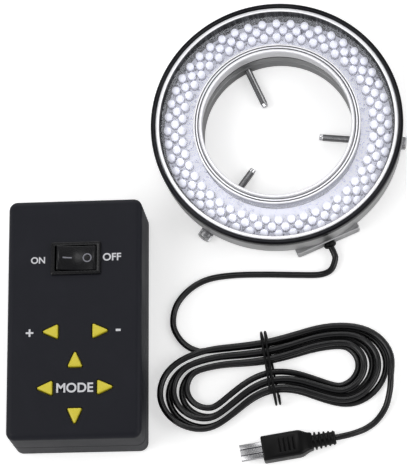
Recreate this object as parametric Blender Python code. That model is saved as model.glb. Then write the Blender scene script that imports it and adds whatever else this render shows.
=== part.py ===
# Microscope ring light with its control box, cord and plug.
# Metres, +Z up. The origin is the middle of the bore, on the surface that everything lies on.
# The ring lies on its clamp collar with the lamps up, and the box lies on its back.

from math import cos, hypot, pi, radians, sin

import bmesh
import bpy
from mathutils import Matrix, Vector

# Clearances
GAP = 0.0003
SLIP = 0.00025
OVERRUN = 0.002

# Turned housing of the ring
BORE_RADIUS = 0.0315
TRAY_BOTTOM = 0.0065
TRAY_FLOOR = 0.0018
TRAY_WIDTH = 0.0174
MOUTH_RADIUS = BORE_RADIUS + TRAY_WIDTH
NECK_WALL = 0.0016
NECK_RADIUS = MOUTH_RADIUS + NECK_WALL
WALL_SHOULDER = 0.0015
WALL_RADIUS = NECK_RADIUS + WALL_SHOULDER
WALL_FOOT_CHAMFER = 0.0008
WALL_TOP = 0.0164
NECK_TOP = 0.0196
NECK_CHAMFER = 0.0003
SEAT_HEIGHT = 0.0154
SEAT_WIDTH = 0.0009
INNER_WALL = 0.0016
INNER_SEAT = 0.0012
INNER_WALL_TOP = 0.0174
RING_SEGMENTS = 72

# Black hoop round the mouth of the housing
HOOP_WIDTH = 0.0020
HOOP_RADIUS = NECK_RADIUS + HOOP_WIDTH
HOOP_TOP = 0.020
HOOP_CHAMFER = 0.0006

# Clear cover over the lamps, and the polished lip that holds its inner edge
COVER_THICKNESS = 0.002
LIP_OVERHANG = 0.0004
LIP_RADIUS = BORE_RADIUS - LIP_OVERHANG
LIP_FOOT_CHAMFER = 0.0006
LIP_FLANGE_REACH = 0.0035
LIP_FLANGE_RADIUS = BORE_RADIUS + LIP_FLANGE_REACH
LIP_FLANGE_HEIGHT = 0.0008
LIP_FLANGE_CHAMFER = 0.0004
LIP_STEP_WIDTH = 0.0008
LIP_CROWN_HEIGHT = 0.0007
LIP_CROWN_WIDTH = 0.0014

# Lamp board: three staggered rows of round lamps on one ring-shaped board
BOARD_THICKNESS = 0.0016
LAMPS_PER_ROW = 48
LAMP_ROW_SHARES = (0.80, 0.615, 0.43)
LAMP_RADIUS_SHARE = 0.098
LAMP_RADIUS = TRAY_WIDTH * LAMP_RADIUS_SHARE
LAMP_BARREL = 0.0034
LAMP_DOME = 0.0012
LAMP_DOME_SHARE = 0.55
LAMP_SIDES = 8
LAMP_SINK = 0.0004
BOARD_RING_SEGMENTS = 48

# Clamp collar at the back, with three thumbscrews that grip the objective
COLLAR_WIDTH = 0.0095
COLLAR_RADIUS = BORE_RADIUS + COLLAR_WIDTH
COLLAR_CHAMFER = 0.0004
SCREW_HEIGHT = 0.0031
SCREW_RADIUS = 0.0015
SCREW_LENGTH = 0.0365
SCREW_TIP_CHAMFER = 0.0004
SCREW_ANGLES = (114, 234, 354)
SCREW_STANDOFFS = (0.003, 0.008, 0.0065)
SCREW_SIDES = 16
KNOB_RADIUS = 0.0028
KNOB_LENGTH = 0.006
KNOB_CHAMFER = 0.0005
KNOB_TEETH = 18
KNOB_TOOTH = 0.00025

# Cable block under the housing, and the grommet that the cord comes out of
BLOCK_ANGLE = -67
BLOCK_WIDTH = 0.028
BLOCK_PROUD = 0.0002
BLOCK_FACE = WALL_RADIUS + BLOCK_PROUD
BLOCK_BEVEL = 0.0008
GROMMET_RADIUS = 0.0021
GROMMET_FLANGE_RADIUS = 0.0026
GROMMET_FLANGE = 0.0015
GROMMET_DEPTH = 0.004
GROMMET_SIDES = 20

# Control box, lying on its back
BOX_WIDTH = 0.055
BOX_LENGTH = 0.100
BOX_THICKNESS = 0.030
BOX_RIGHT = -0.055
BOX_PLACE = Vector((BOX_RIGHT - BOX_WIDTH / 2, -0.084, 0))
BOX_WALL = 0.002
BOX_CORNER = 0.0035
BOX_EDGE = 0.0025
BOX_EDGE_STEPS = 4
BOX_CORNER_STEPS = 4
SEAM_HEIGHT = 0.0138
CONTROLS_OFFSET = 0.0006

# Columns and bosses that the four case screws run in
BOSS_RADIUS = 0.0028
BOSS_INSET = 0.0065
BOSS_SIDES = 16
PILOT_RADIUS = 0.0011
CASE_SCREW_RADIUS = 0.0010
CASE_HEAD_RADIUS = 0.0022
CASE_HEAD_HEIGHT = 0.0012
CASE_HEAD_RECESS = 0.0004
CASE_SCREW_REACH = 0.006
CASE_SLOT_WIDTH = 0.0006
CASE_SLOT_DEPTH = 0.0005

# Control board with a small switch under each button
CONTROL_BOARD_HEIGHT = 0.020
TACT_WIDTH = 0.006
TACT_HEIGHT = 0.0035
TACT_STEM_RADIUS = 0.0016
TACT_STEM_HEIGHT = 0.0008
TACT_TRAVEL_GAP = 0.0003

# Arrow buttons
ARROW_HEIGHT = 0.0067
ARROW_BASE = 0.0061
ARROW_PROUD = 0.0011
ARROW_BEVEL = 0.0005
ARROW_FLANGE = 0.0008
ARROW_FLANGE_HEIGHT = 0.0010
ARROW_PEG_INSET = 0.0007
VOLUME_SPREAD_SHARE = 0.1891
VOLUME_LEVEL_SHARE = -0.057
MODE_SPREAD_SHARE = 0.2273
MODE_LEVEL_SHARE = -0.291
MODE_RISE_SHARE = 0.119

# Rocker switch
SWITCH_LEVEL_SHARE = 0.248
SWITCH_LEVEL = BOX_LENGTH * SWITCH_LEVEL_SHARE
SWITCH_FLANGE_WIDTH = 0.0205
SWITCH_FLANGE_LENGTH = 0.0138
SWITCH_FLANGE_HEIGHT = 0.0012
SWITCH_FLANGE_BEVEL = 0.0005
SWITCH_BODY_WIDTH = 0.0188
SWITCH_BODY_LENGTH = 0.0128
ROCKER_WIDTH = 0.0158
ROCKER_LENGTH = 0.0102
ROCKER_WING_RISE = 0.0022
ROCKER_SADDLE_RISE = 0.0011
ROCKER_SKIRT = 0.0026
ROCKER_HEEL_WIDTH = 0.0050
ROCKER_HEEL_DEPTH = 0.0036
ROCKER_TILT = 7
ROCKER_PIN_RADIUS = 0.0008
ROCKER_PIN_LENGTH = 0.0008
ROCKER_PIVOT_DROP = 0.0006
ROCKER_BEVEL = 0.0003

# Sockets in the top end of the box
PANEL_WIDTH = 0.027
PANEL_HEIGHT = 0.0115
PANEL_THICKNESS = 0.0016
PANEL_RECESS = 0.0012
USB_WIDTH = 0.0077
USB_HEIGHT = 0.0039
USB_DEPTH = 0.0090
USB_WALL = 0.0004
USB_TONGUE_HEIGHT = 0.0010
USB_TONGUE_WIDTH = 0.0044
USB_BACK = 0.0010
USB_OFFSET = -0.0062
JACK_OFFSET = 0.0060
JACK_RADIUS = 0.0042
JACK_BORE = 0.0029
JACK_PIN_RADIUS = 0.0010
JACK_DEPTH = 0.0095
JACK_BACK = 0.0015
JACK_SIDES = 24

# Cord, hank and tie
CORD_RADIUS = 0.0013
CORD_STEP = 0.0052
ROUTE_PARTS = 24
CORD_LIFT = 0.0001
LAYER_RISE = 0.0033
LOOP_PITCH = 0.0036
POINTS_PER_LOOP = 24
FOLD_SHARE = 0.25
STEPS_BEFORE_MIDDLE = 2
STEPS_TO_REVERSAL = 62
STEPS_TO_END = 66
CLIMB_STEPS = 3
FOLD_RADIUS = 0.0076
RUN_RIGHT = 0.0270
RUN_LEFT = 0.0265
RUN_GROWTH = 0.0020
WAIST_REACH = 0.029
WAIST_HALF = 0.0017
WAIST_LIFT = 0.0015
BOW_RADIUS = 0.096
HANK_PLACE = Vector((-0.0258, -0.0510, 0))
HANK_ANGLE = 9.5
TIE_RADIUS = 0.0005
TIE_PITCH = 0.0016
TIE_TURNS = 2
TIE_END_STEPS = 6
TIE_FLAT_STEPS = 5
TIE_CLEARANCE = 0.0004

# Plug
PLUG_PLACE = Vector((0.0005, -0.0805, 0.0042))
PLUG_ANGLE = 188.8
RELIEF_LENGTH = 0.0094
RELIEF_RIBS = 5
RELIEF_RIB_RADIUS = 0.0037
RELIEF_NECK_RADIUS = 0.0024
RELIEF_TAPER = 0.0007
PLUG_LENGTH = 0.0208
PLUG_WIDTH = 0.0104
PLUG_THICKNESS = 0.0080
PLUG_BEVEL = 0.0009
PLUG_BEVEL_ANGLE = 50
PLUG_SHOULDER_SHARE = 0.72
PLUG_TAIL_SHARE = 0.68
GRIP_RIBS = 4
GRIP_RIB_WIDTH = 0.0009
GRIP_RIB_PITCH = 0.0019
GRIP_RIB_LENGTH = 0.0062
GRIP_RIB_DEPTH = 0.0004
TIP_WIDTH = 0.0068
TIP_FOOT_WIDTH = 0.0052
TIP_HEIGHT = 0.0031
TIP_LENGTH = 0.0088
TIP_WALL = 0.0004
TIP_BORE_DEPTH = 0.0060

# Routes of the cord, from the grommet to the hank and from the hank to the plug.
# Their places are measured over the ground from where the cord leaves the grommet.
RING_ROUTE = (
    (0.0015, -0.0049, 0.0029),
    (-0.0003, -0.0092, 0.0022),
    (-0.0048, -0.0110, 0.0016),
    (-0.0131, -0.0109, 0.0014),
    (-0.0281, -0.0103, 0.0014),
    (-0.0416, -0.0103, 0.0014),
    (-0.0521, -0.0119, 0.0014),
    (-0.0598, -0.0163, 0.0014),
    (-0.0649, -0.0228, 0.0014),
    (-0.0662, -0.0305, 0.0014),
    (-0.0639, -0.0363, 0.0014),
    (-0.0598, -0.0405, 0.0014),
    (-0.0546, -0.0427, 0.0014),
)
PLUG_ROUTE = (
    (0.0228, -0.0620, 0.0041),
    (0.0211, -0.0678, 0.0026),
    (0.0175, -0.0730, 0.0016),
    (0.0129, -0.0765, 0.0018),
    (0.0077, -0.0788, 0.0032),
)


def clear_scene():
    """Remove every object that the file holds."""
    for item in list(bpy.data.objects):
        bpy.data.objects.remove(item, do_unlink=True)


def finish(name, colour, roughness, metallic):
    """Return a plain material with the part's own colour."""
    material = bpy.data.materials.new(name)
    material.use_nodes = True
    shader = material.node_tree.nodes["Principled BSDF"]
    shader.inputs["Base Color"].default_value = (*colour, 1)
    shader.inputs["Roughness"].default_value = roughness
    shader.inputs["Metallic"].default_value = metallic
    material.diffuse_color = (*colour, 1)
    return material


def place(name, mesh_data, material, matrix=None, parent=None):
    """Link a named object that shows a mesh or a curve."""
    item = bpy.data.objects.new(name, mesh_data)
    bpy.context.scene.collection.objects.link(item)
    if material is not None:
        mesh_data.materials.append(material)
    if matrix is not None:
        item.matrix_world = matrix
    if parent is not None:
        item.parent = parent
    return item


def mesh_of(name, shape, smooth_angle=35):
    """Turn a bmesh into a mesh whose faces point out and whose round sides shade smooth."""
    bmesh.ops.recalc_face_normals(shape, faces=shape.faces)
    mesh = bpy.data.meshes.new(name)
    shape.to_mesh(mesh)
    shape.free()
    mesh.shade_smooth()
    mesh.set_sharp_from_angle(angle=radians(smooth_angle))
    return mesh


def bridge(shape, lower, upper):
    """Join two rings of vertices with four-sided faces."""
    count = len(lower)
    for index in range(count):
        after = (index + 1) % count
        shape.faces.new((lower[index], lower[after], upper[after], upper[index]))


def turned_ring(shape, profile, segments):
    """Spin a closed profile of (radius, height) about Z."""
    rings = []
    for radius, height in profile:
        turns = [2 * pi * step / segments for step in range(segments)]
        rings.append([shape.verts.new((radius * cos(t), radius * sin(t), height)) for t in turns])
    for index, ring in enumerate(rings):
        bridge(shape, ring, rings[(index + 1) % len(rings)])


def turned_solid(shape, profile, segments, tooth=0.0, toothed=()):
    """Spin an open profile about Z and cap both ends, with knurl teeth on some of its points."""
    rings = []
    for place_in_profile, (radius, height) in enumerate(profile):
        ring = []
        for step in range(segments):
            turn = 2 * pi * step / segments
            cut = tooth if place_in_profile in toothed and step % 2 else 0
            reach = radius - cut
            ring.append(shape.verts.new((reach * cos(turn), reach * sin(turn), height)))
        rings.append(ring)
    for lower, upper in zip(rings, rings[1:]):
        bridge(shape, lower, upper)
    shape.faces.new(rings[0])
    shape.faces.new(rings[-1])


def lofted(shape, rings):
    """Skin a list of rings of points and cap the first and the last."""
    made = [[shape.verts.new(point) for point in ring] for ring in rings]
    for lower, upper in zip(made, made[1:]):
        bridge(shape, lower, upper)
    shape.faces.new(made[0])
    shape.faces.new(made[-1])


def add_moved(shape, piece, way):
    """Move a loose piece and add it to a shape."""
    bmesh.ops.translate(piece, verts=piece.verts, vec=way)
    loose = bpy.data.meshes.new("loose")
    piece.to_mesh(loose)
    piece.free()
    shape.from_mesh(loose)
    bpy.data.meshes.remove(loose)


def block(shape, low, high):
    """Add a box between two corners."""
    corners = [(low[0], low[1]), (high[0], low[1]), (high[0], high[1]), (low[0], high[1])]
    lofted(shape, [[(x, y, z) for x, y in corners] for z in (low[2], high[2])])


def new_turned_ring(name, profile, material, segments=RING_SEGMENTS):
    """Make one turned ring as an object."""
    shape = bmesh.new()
    turned_ring(shape, profile, segments)
    return place(name, mesh_of(name, shape), material)


def cutter_from(name, shape, matrix=None, parent=None):
    """Make a hidden object that cuts others."""
    item = place(name, mesh_of(name, shape), None, matrix, parent)
    item.hide_render = True
    item.display_type = "WIRE"
    return item


def boolean(target, tool, operation="DIFFERENCE"):
    """Cut or join one object with another."""
    modifier = target.modifiers.new(tool.name, "BOOLEAN")
    modifier.operation = operation
    modifier.solver = "EXACT"
    modifier.object = tool


def bevel(target, width, segments=2, angle=40):
    """Round the sharp edges of an object."""
    modifier = target.modifiers.new("edges", "BEVEL")
    modifier.width = width
    modifier.segments = segments
    modifier.limit_method = "ANGLE"
    modifier.angle_limit = radians(angle)
    modifier.use_clamp_overlap = True


def radial_frame(angle_deg, height):
    """Return a frame whose Z runs outward from the ring's axis at an angle."""
    turn = Matrix.Rotation(radians(angle_deg), 4, "Z")
    lay_down = Matrix.Rotation(radians(90), 4, "Y")
    return Matrix.Translation((0, 0, height)) @ turn @ lay_down


# Ring head

def build_housing(aluminium):
    """Turned tray with an outer wall, a floor and an inner wall round the bore."""
    floor_top = TRAY_BOTTOM + TRAY_FLOOR
    inner_top_radius = BORE_RADIUS + INNER_WALL
    inner_low_radius = inner_top_radius + INNER_SEAT
    profile = (
        (BORE_RADIUS, TRAY_BOTTOM),
        (WALL_RADIUS - WALL_FOOT_CHAMFER, TRAY_BOTTOM),
        (WALL_RADIUS, TRAY_BOTTOM + WALL_FOOT_CHAMFER),
        (WALL_RADIUS, WALL_TOP),
        (NECK_RADIUS, WALL_TOP),
        (NECK_RADIUS, NECK_TOP - NECK_CHAMFER),
        (NECK_RADIUS - NECK_CHAMFER, NECK_TOP),
        (MOUTH_RADIUS + NECK_CHAMFER, NECK_TOP),
        (MOUTH_RADIUS, NECK_TOP - NECK_CHAMFER),
        (MOUTH_RADIUS, SEAT_HEIGHT),
        (MOUTH_RADIUS - SEAT_WIDTH, SEAT_HEIGHT),
        (MOUTH_RADIUS - SEAT_WIDTH, floor_top),
        (inner_low_radius, floor_top),
        (inner_low_radius, SEAT_HEIGHT),
        (inner_top_radius, SEAT_HEIGHT),
        (inner_top_radius, INNER_WALL_TOP),
        (BORE_RADIUS, INNER_WALL_TOP),
    )
    new_turned_ring("ring_housing", profile, aluminium)


def build_hoop(black_metal):
    """Black hoop that sits round the neck of the housing."""
    inner = NECK_RADIUS + GAP
    foot = WALL_TOP + GAP
    profile = (
        (inner, foot),
        (HOOP_RADIUS, foot),
        (HOOP_RADIUS, HOOP_TOP - HOOP_CHAMFER),
        (HOOP_RADIUS - HOOP_CHAMFER, HOOP_TOP),
        (inner, HOOP_TOP),
    )
    new_turned_ring("bezel_hoop", profile, black_metal)


def cover_heights():
    """Return the heights of the clear cover's two faces."""
    foot = SEAT_HEIGHT + GAP
    return foot, foot + COVER_THICKNESS


def build_cover(clear):
    """Flat clear ring that lies on both seats of the housing."""
    foot, top = cover_heights()
    inner = BORE_RADIUS + INNER_WALL + GAP
    outer = MOUTH_RADIUS - GAP
    new_turned_ring("lamp_cover", ((inner, foot), (outer, foot), (outer, top), (inner, top)), clear)


def build_lip(polished):
    """Polished lip on the inner wall, whose flange holds the cover down."""
    foot = INNER_WALL_TOP + GAP
    body = BORE_RADIUS + INNER_WALL
    flange_foot = cover_heights()[1] + GAP
    flange_top = flange_foot + LIP_FLANGE_HEIGHT
    crown_top = flange_top + LIP_CROWN_HEIGHT
    crown_outer = LIP_RADIUS + LIP_CROWN_WIDTH
    profile = (
        (LIP_RADIUS, foot + LIP_FOOT_CHAMFER),
        (LIP_RADIUS + LIP_FOOT_CHAMFER, foot),
        (body, foot),
        (body, flange_foot),
        (LIP_FLANGE_RADIUS, flange_foot),
        (LIP_FLANGE_RADIUS, flange_top - LIP_FLANGE_CHAMFER),
        (LIP_FLANGE_RADIUS - LIP_FLANGE_CHAMFER, flange_top),
        (crown_outer + LIP_STEP_WIDTH, flange_top),
        (crown_outer, crown_top),
        (LIP_RADIUS + LIP_FLANGE_CHAMFER, crown_top),
        (LIP_RADIUS, crown_top - LIP_FLANGE_CHAMFER),
    )
    new_turned_ring("bore_lip", profile, polished)


def build_lamp_board(board_white):
    """Ring board with three staggered rows of domed lamps, joined into one body."""
    foot = TRAY_BOTTOM + TRAY_FLOOR + GAP
    top = foot + BOARD_THICKNESS
    inner = BORE_RADIUS + INNER_WALL + INNER_SEAT + GAP
    outer = MOUTH_RADIUS - SEAT_WIDTH - GAP
    profile = ((inner, foot), (outer, foot), (outer, top), (inner, top))
    board = new_turned_ring("lamp_board", profile, board_white, BOARD_RING_SEGMENTS)
    lamps = bmesh.new()
    barrel_top = top + LAMP_BARREL
    dome_radius = LAMP_RADIUS * LAMP_DOME_SHARE
    crown = (dome_radius, barrel_top + LAMP_DOME)
    lamp_profile = ((LAMP_RADIUS, top - LAMP_SINK), (LAMP_RADIUS, barrel_top), crown)
    for row, row_share in enumerate(LAMP_ROW_SHARES):
        row_radius = BORE_RADIUS + TRAY_WIDTH * row_share
        for step in range(LAMPS_PER_ROW):
            turn = 2 * pi * (step + row / 2) / LAMPS_PER_ROW
            lamp = bmesh.new()
            turned_solid(lamp, lamp_profile, LAMP_SIDES)
            add_moved(lamps, lamp, (row_radius * cos(turn), row_radius * sin(turn), 0))
    tool = cutter_from("lamp_rows", lamps)
    boolean(board, tool, "UNION")


def add_radial(shape, profile, angle_deg, sides):
    """Add a turned solid that lies along a radius of the ring at the screws' height."""
    piece = bmesh.new()
    turned_solid(piece, profile, sides)
    piece.transform(radial_frame(angle_deg, SCREW_HEIGHT))
    add_moved(shape, piece, Vector())


def build_collar(aluminium):
    """Clamp collar under the housing, with a hole for each thumbscrew."""
    top = TRAY_BOTTOM - GAP
    profile = (
        (BORE_RADIUS, 0),
        (COLLAR_RADIUS - COLLAR_CHAMFER, 0),
        (COLLAR_RADIUS, COLLAR_CHAMFER),
        (COLLAR_RADIUS, top - COLLAR_CHAMFER),
        (COLLAR_RADIUS - COLLAR_CHAMFER, top),
        (BORE_RADIUS, top),
    )
    collar = new_turned_ring("clamp_collar", profile, aluminium)
    hole = SCREW_RADIUS + SLIP
    holes = bmesh.new()
    hole_profile = ((hole, BORE_RADIUS - OVERRUN), (hole, COLLAR_RADIUS + OVERRUN))
    for angle_deg in SCREW_ANGLES:
        add_radial(holes, hole_profile, angle_deg, SCREW_SIDES)
    boolean(collar, cutter_from("screw_holes", holes))


def build_thumbscrews(steel):
    """Long thumbscrews with knurled heads. Each has its origin on its own axis, at its tip."""
    knob_foot = SCREW_LENGTH - KNOB_LENGTH
    profile = (
        (SCREW_RADIUS - SCREW_TIP_CHAMFER, 0),
        (SCREW_RADIUS, SCREW_TIP_CHAMFER),
        (SCREW_RADIUS, knob_foot),
        (KNOB_RADIUS - KNOB_CHAMFER, knob_foot),
        (KNOB_RADIUS, knob_foot + KNOB_CHAMFER),
        (KNOB_RADIUS, SCREW_LENGTH - KNOB_CHAMFER),
        (KNOB_RADIUS - KNOB_CHAMFER, SCREW_LENGTH),
    )
    knurled = (4, 5)
    shape = bmesh.new()
    turned_solid(shape, profile, 2 * KNOB_TEETH, KNOB_TOOTH, knurled)
    mesh = mesh_of("thumbscrew", shape)
    mesh.materials.append(steel)
    for number, (angle_deg, standoff) in enumerate(zip(SCREW_ANGLES, SCREW_STANDOFFS), start=1):
        tip = COLLAR_RADIUS + standoff - knob_foot
        frame = radial_frame(angle_deg, SCREW_HEIGHT) @ Matrix.Translation((0, 0, tip))
        place(f"thumbscrew_{number}", mesh, None, frame)


def build_cable_block(aluminium):
    """Flat-faced block under the housing that the cord comes out of."""
    top = TRAY_BOTTOM - GAP
    shape = bmesh.new()
    block(shape, (COLLAR_RADIUS - BLOCK_WIDTH / 4, -BLOCK_WIDTH / 2, GAP), (BLOCK_FACE, BLOCK_WIDTH / 2, top))
    turn = Matrix.Rotation(radians(BLOCK_ANGLE), 4, "Z")
    item = place("cable_block", mesh_of("cable_block", shape), aluminium, turn)
    bevel(item, BLOCK_BEVEL)
    hollow = bmesh.new()
    reach = COLLAR_RADIUS + GAP
    turned_solid(hollow, ((reach, -OVERRUN), (reach, top + OVERRUN)), RING_SEGMENTS)
    boolean(item, cutter_from("collar_clearance", hollow))
    bore = GROMMET_RADIUS + GAP
    hole = bmesh.new()
    hole_foot = BLOCK_FACE - GROMMET_DEPTH - GAP
    turned_solid(hole, ((bore, hole_foot), (bore, BLOCK_FACE + OVERRUN)), GROMMET_SIDES)
    boolean(item, cutter_from("grommet_hole", hole, radial_frame(BLOCK_ANGLE, SCREW_HEIGHT)))


def build_grommet(rubber):
    """Rubber grommet in the block's face, with the cord's end against it."""
    face = BLOCK_FACE + GAP
    profile = (
        (GROMMET_RADIUS, BLOCK_FACE - GROMMET_DEPTH),
        (GROMMET_RADIUS, face),
        (GROMMET_FLANGE_RADIUS, face),
        (GROMMET_FLANGE_RADIUS, face + GROMMET_FLANGE / 2),
        (GROMMET_RADIUS, face + GROMMET_FLANGE),
    )
    shape = bmesh.new()
    turned_solid(shape, profile, GROMMET_SIDES)
    place("cord_grommet", mesh_of("cord_grommet", shape), rubber, radial_frame(BLOCK_ANGLE, SCREW_HEIGHT))


# Control box

def rounded_outline(width, length, corner, height):
    """Return the points of a rectangle with round corners, at a height."""
    points = []
    half_x = width / 2 - corner
    half_y = length / 2 - corner
    for quarter, (side_x, side_y) in enumerate(((1, 1), (-1, 1), (-1, -1), (1, -1))):
        for step in range(BOX_CORNER_STEPS):
            turn = (quarter + step / (BOX_CORNER_STEPS - 1)) * pi / 2
            x = side_x * half_x + corner * cos(turn)
            y = side_y * half_y + corner * sin(turn)
            points.append((x, y, height))
    return points


def shell_rings(open_height, closed_height):
    """Return the rings of a half case, from the inside of its closed face round to the outside."""
    way = 1 if closed_height > open_height else -1
    inner_width = BOX_WIDTH - 2 * BOX_WALL
    inner_length = BOX_LENGTH - 2 * BOX_WALL
    inner_corner = BOX_CORNER - BOX_WALL
    rings = [
        rounded_outline(inner_width, inner_length, inner_corner, closed_height - way * BOX_WALL),
        rounded_outline(inner_width, inner_length, inner_corner, open_height),
        rounded_outline(BOX_WIDTH, BOX_LENGTH, BOX_CORNER, open_height),
    ]
    for step in range(BOX_EDGE_STEPS + 1):
        turn = step / BOX_EDGE_STEPS * pi / 2
        inset = BOX_EDGE * (1 - cos(turn))
        rise = BOX_EDGE * (1 - sin(turn))
        width, length = BOX_WIDTH - 2 * inset, BOX_LENGTH - 2 * inset
        rings.append(rounded_outline(width, length, BOX_CORNER - inset, closed_height - way * rise))
    return rings


def boss_places():
    """Return the four places of the case screws in the box."""
    reach_x = BOX_WIDTH / 2 - BOSS_INSET
    reach_y = BOX_LENGTH / 2 - BOSS_INSET
    return [(side_x * reach_x, side_y * reach_y) for side_x in (-1, 1) for side_y in (-1, 1)]


def upright(shape, spot, profile, sides=BOSS_SIDES):
    """Add a turned solid that stands at a spot of the box."""
    piece = bmesh.new()
    turned_solid(piece, profile, sides)
    add_moved(shape, piece, (spot[0], spot[1], 0))


def arrow_outline(grow):
    """Return a triangle that points along +X, with every side moved out by grow."""
    slope = hypot(ARROW_HEIGHT, ARROW_BASE / 2)
    tip_grow = grow * slope / (ARROW_BASE / 2)
    side_grow = grow * (slope + ARROW_BASE / 2) / ARROW_HEIGHT
    back = -ARROW_HEIGHT / 2
    half = ARROW_BASE / 2 + side_grow
    return [(back - grow, -half), (ARROW_HEIGHT / 2 + tip_grow, 0), (back - grow, half)]


def arrow_places():
    """Return each arrow button's name, place and heading."""
    middle = CONTROLS_OFFSET
    volume_spread = BOX_WIDTH * VOLUME_SPREAD_SHARE
    volume_level = BOX_LENGTH * VOLUME_LEVEL_SHARE
    mode_spread = BOX_WIDTH * MODE_SPREAD_SHARE
    mode_level = BOX_LENGTH * MODE_LEVEL_SHARE
    mode_rise = BOX_LENGTH * MODE_RISE_SHARE
    return (
        ("button_plus", middle - volume_spread, volume_level, 180),
        ("button_minus", middle + volume_spread, volume_level, 0),
        ("button_mode_up", middle, mode_level + mode_rise, 90),
        ("button_mode_down", middle, mode_level - mode_rise, 270),
        ("button_mode_left", middle - mode_spread, mode_level, 180),
        ("button_mode_right", middle + mode_spread, mode_level, 0),
    )


def arrow_frame(x, y, heading, height=0.0):
    """Return the frame of an arrow button in the box."""
    return Matrix.Translation((x, y, height)) @ Matrix.Rotation(radians(heading), 4, "Z")


def panel_height():
    """Return the height of the middle of the socket panel."""
    return SEAM_HEIGHT + GAP / 2


def panel_cutter(box):
    """Box that cuts the socket window through the top ends of both half cases."""
    shape = bmesh.new()
    middle = panel_height()
    half_x = PANEL_WIDTH / 2 + GAP
    half_z = PANEL_HEIGHT / 2 + GAP
    low_y = BOX_LENGTH / 2 - BOX_WALL - OVERRUN
    high_y = BOX_LENGTH / 2 + OVERRUN
    low = (CONTROLS_OFFSET - half_x, low_y, middle - half_z)
    high = (CONTROLS_OFFSET + half_x, high_y, middle + half_z)
    block(shape, low, high)
    return cutter_from("socket_window", shape, parent=box)


def build_front_case(box, black, window):
    """Front half case, with the switch opening, the arrow holes and four bosses."""
    shape = bmesh.new()
    foot = SEAM_HEIGHT + GAP
    lofted(shape, shell_rings(foot, BOX_THICKNESS))
    case = place("front_case", mesh_of("front_case", shape), black, parent=box)
    bosses = bmesh.new()
    board_top = CONTROL_BOARD_HEIGHT + BOARD_THICKNESS
    for spot in boss_places():
        upright(bosses, spot, ((BOSS_RADIUS, board_top + GAP), (BOSS_RADIUS, BOX_THICKNESS - BOX_WALL / 2)))
    boolean(case, cutter_from("front_bosses", bosses, parent=box), "UNION")
    boolean(case, window)
    opening = bmesh.new()
    half_x = SWITCH_BODY_WIDTH / 2 + GAP
    half_y = SWITCH_BODY_LENGTH / 2 + GAP
    low = (CONTROLS_OFFSET - half_x, SWITCH_LEVEL - half_y, BOX_THICKNESS - BOX_WALL - OVERRUN)
    high = (CONTROLS_OFFSET + half_x, SWITCH_LEVEL + half_y, BOX_THICKNESS + OVERRUN)
    block(opening, low, high)
    boolean(case, cutter_from("switch_opening", opening, parent=box))
    pilots = bmesh.new()
    for spot in boss_places():
        upright(pilots, spot, ((PILOT_RADIUS, board_top - OVERRUN), (PILOT_RADIUS, BOX_THICKNESS - BOX_WALL)))
    boolean(case, cutter_from("pilot_holes", pilots, parent=box))
    arrow_holes = bmesh.new()
    heights = (BOX_THICKNESS - BOX_WALL - OVERRUN, BOX_THICKNESS + OVERRUN)
    for _, x, y, heading in arrow_places():
        frame = arrow_frame(x, y, heading)
        outline = arrow_outline(SLIP)
        lofted(arrow_holes, [[frame @ Vector((px, py, height)) for px, py in outline] for height in heights])
    boolean(case, cutter_from("arrow_holes", arrow_holes, parent=box))


def build_back_case(box, black, window):
    """Back half case, with four screw columns and their countersinks."""
    shape = bmesh.new()
    lofted(shape, shell_rings(SEAM_HEIGHT, 0))
    case = place("back_case", mesh_of("back_case", shape), black, parent=box)
    columns = bmesh.new()
    board_foot = CONTROL_BOARD_HEIGHT
    for spot in boss_places():
        upright(columns, spot, ((BOSS_RADIUS, BOX_WALL / 2), (BOSS_RADIUS, board_foot - GAP)))
    boolean(case, cutter_from("screw_columns", columns, parent=box), "UNION")
    boolean(case, window)
    holes = bmesh.new()
    bore = CASE_SCREW_RADIUS + GAP
    sink = CASE_HEAD_RADIUS + GAP
    depth = CASE_HEAD_RECESS + CASE_HEAD_HEIGHT + GAP
    for spot in boss_places():
        upright(holes, spot, ((sink, -OVERRUN), (sink, depth), (bore, depth), (bore, board_foot + OVERRUN)))
    boolean(case, cutter_from("case_screw_holes", holes, parent=box))


def build_case_screws(box, steel):
    """Four slotted screws that hold the two half cases together."""
    board_top = CONTROL_BOARD_HEIGHT + BOARD_THICKNESS
    head_top = CASE_HEAD_RECESS + CASE_HEAD_HEIGHT
    reach = board_top + CASE_SCREW_REACH
    profile = (
        (CASE_HEAD_RADIUS, CASE_HEAD_RECESS),
        (CASE_HEAD_RADIUS, head_top),
        (CASE_SCREW_RADIUS, head_top),
        (CASE_SCREW_RADIUS, reach),
    )
    shape = bmesh.new()
    turned_solid(shape, profile, BOSS_SIDES)
    mesh = mesh_of("case_screw", shape)
    mesh.materials.append(steel)
    slots = bmesh.new()
    reach_x = CASE_HEAD_RADIUS + OVERRUN
    half = CASE_SLOT_WIDTH / 2
    depth = CASE_HEAD_RECESS + CASE_SLOT_DEPTH
    for x, y in boss_places():
        block(slots, (x - reach_x, y - half, -OVERRUN), (x + reach_x, y + half, depth))
    slot_cutter = cutter_from("screw_slots", slots, parent=box)
    for number, (x, y) in enumerate(boss_places(), start=1):
        screw = place(f"case_screw_{number}", mesh, None, Matrix.Translation((x, y, 0)), box)
        boolean(screw, slot_cutter)


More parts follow.
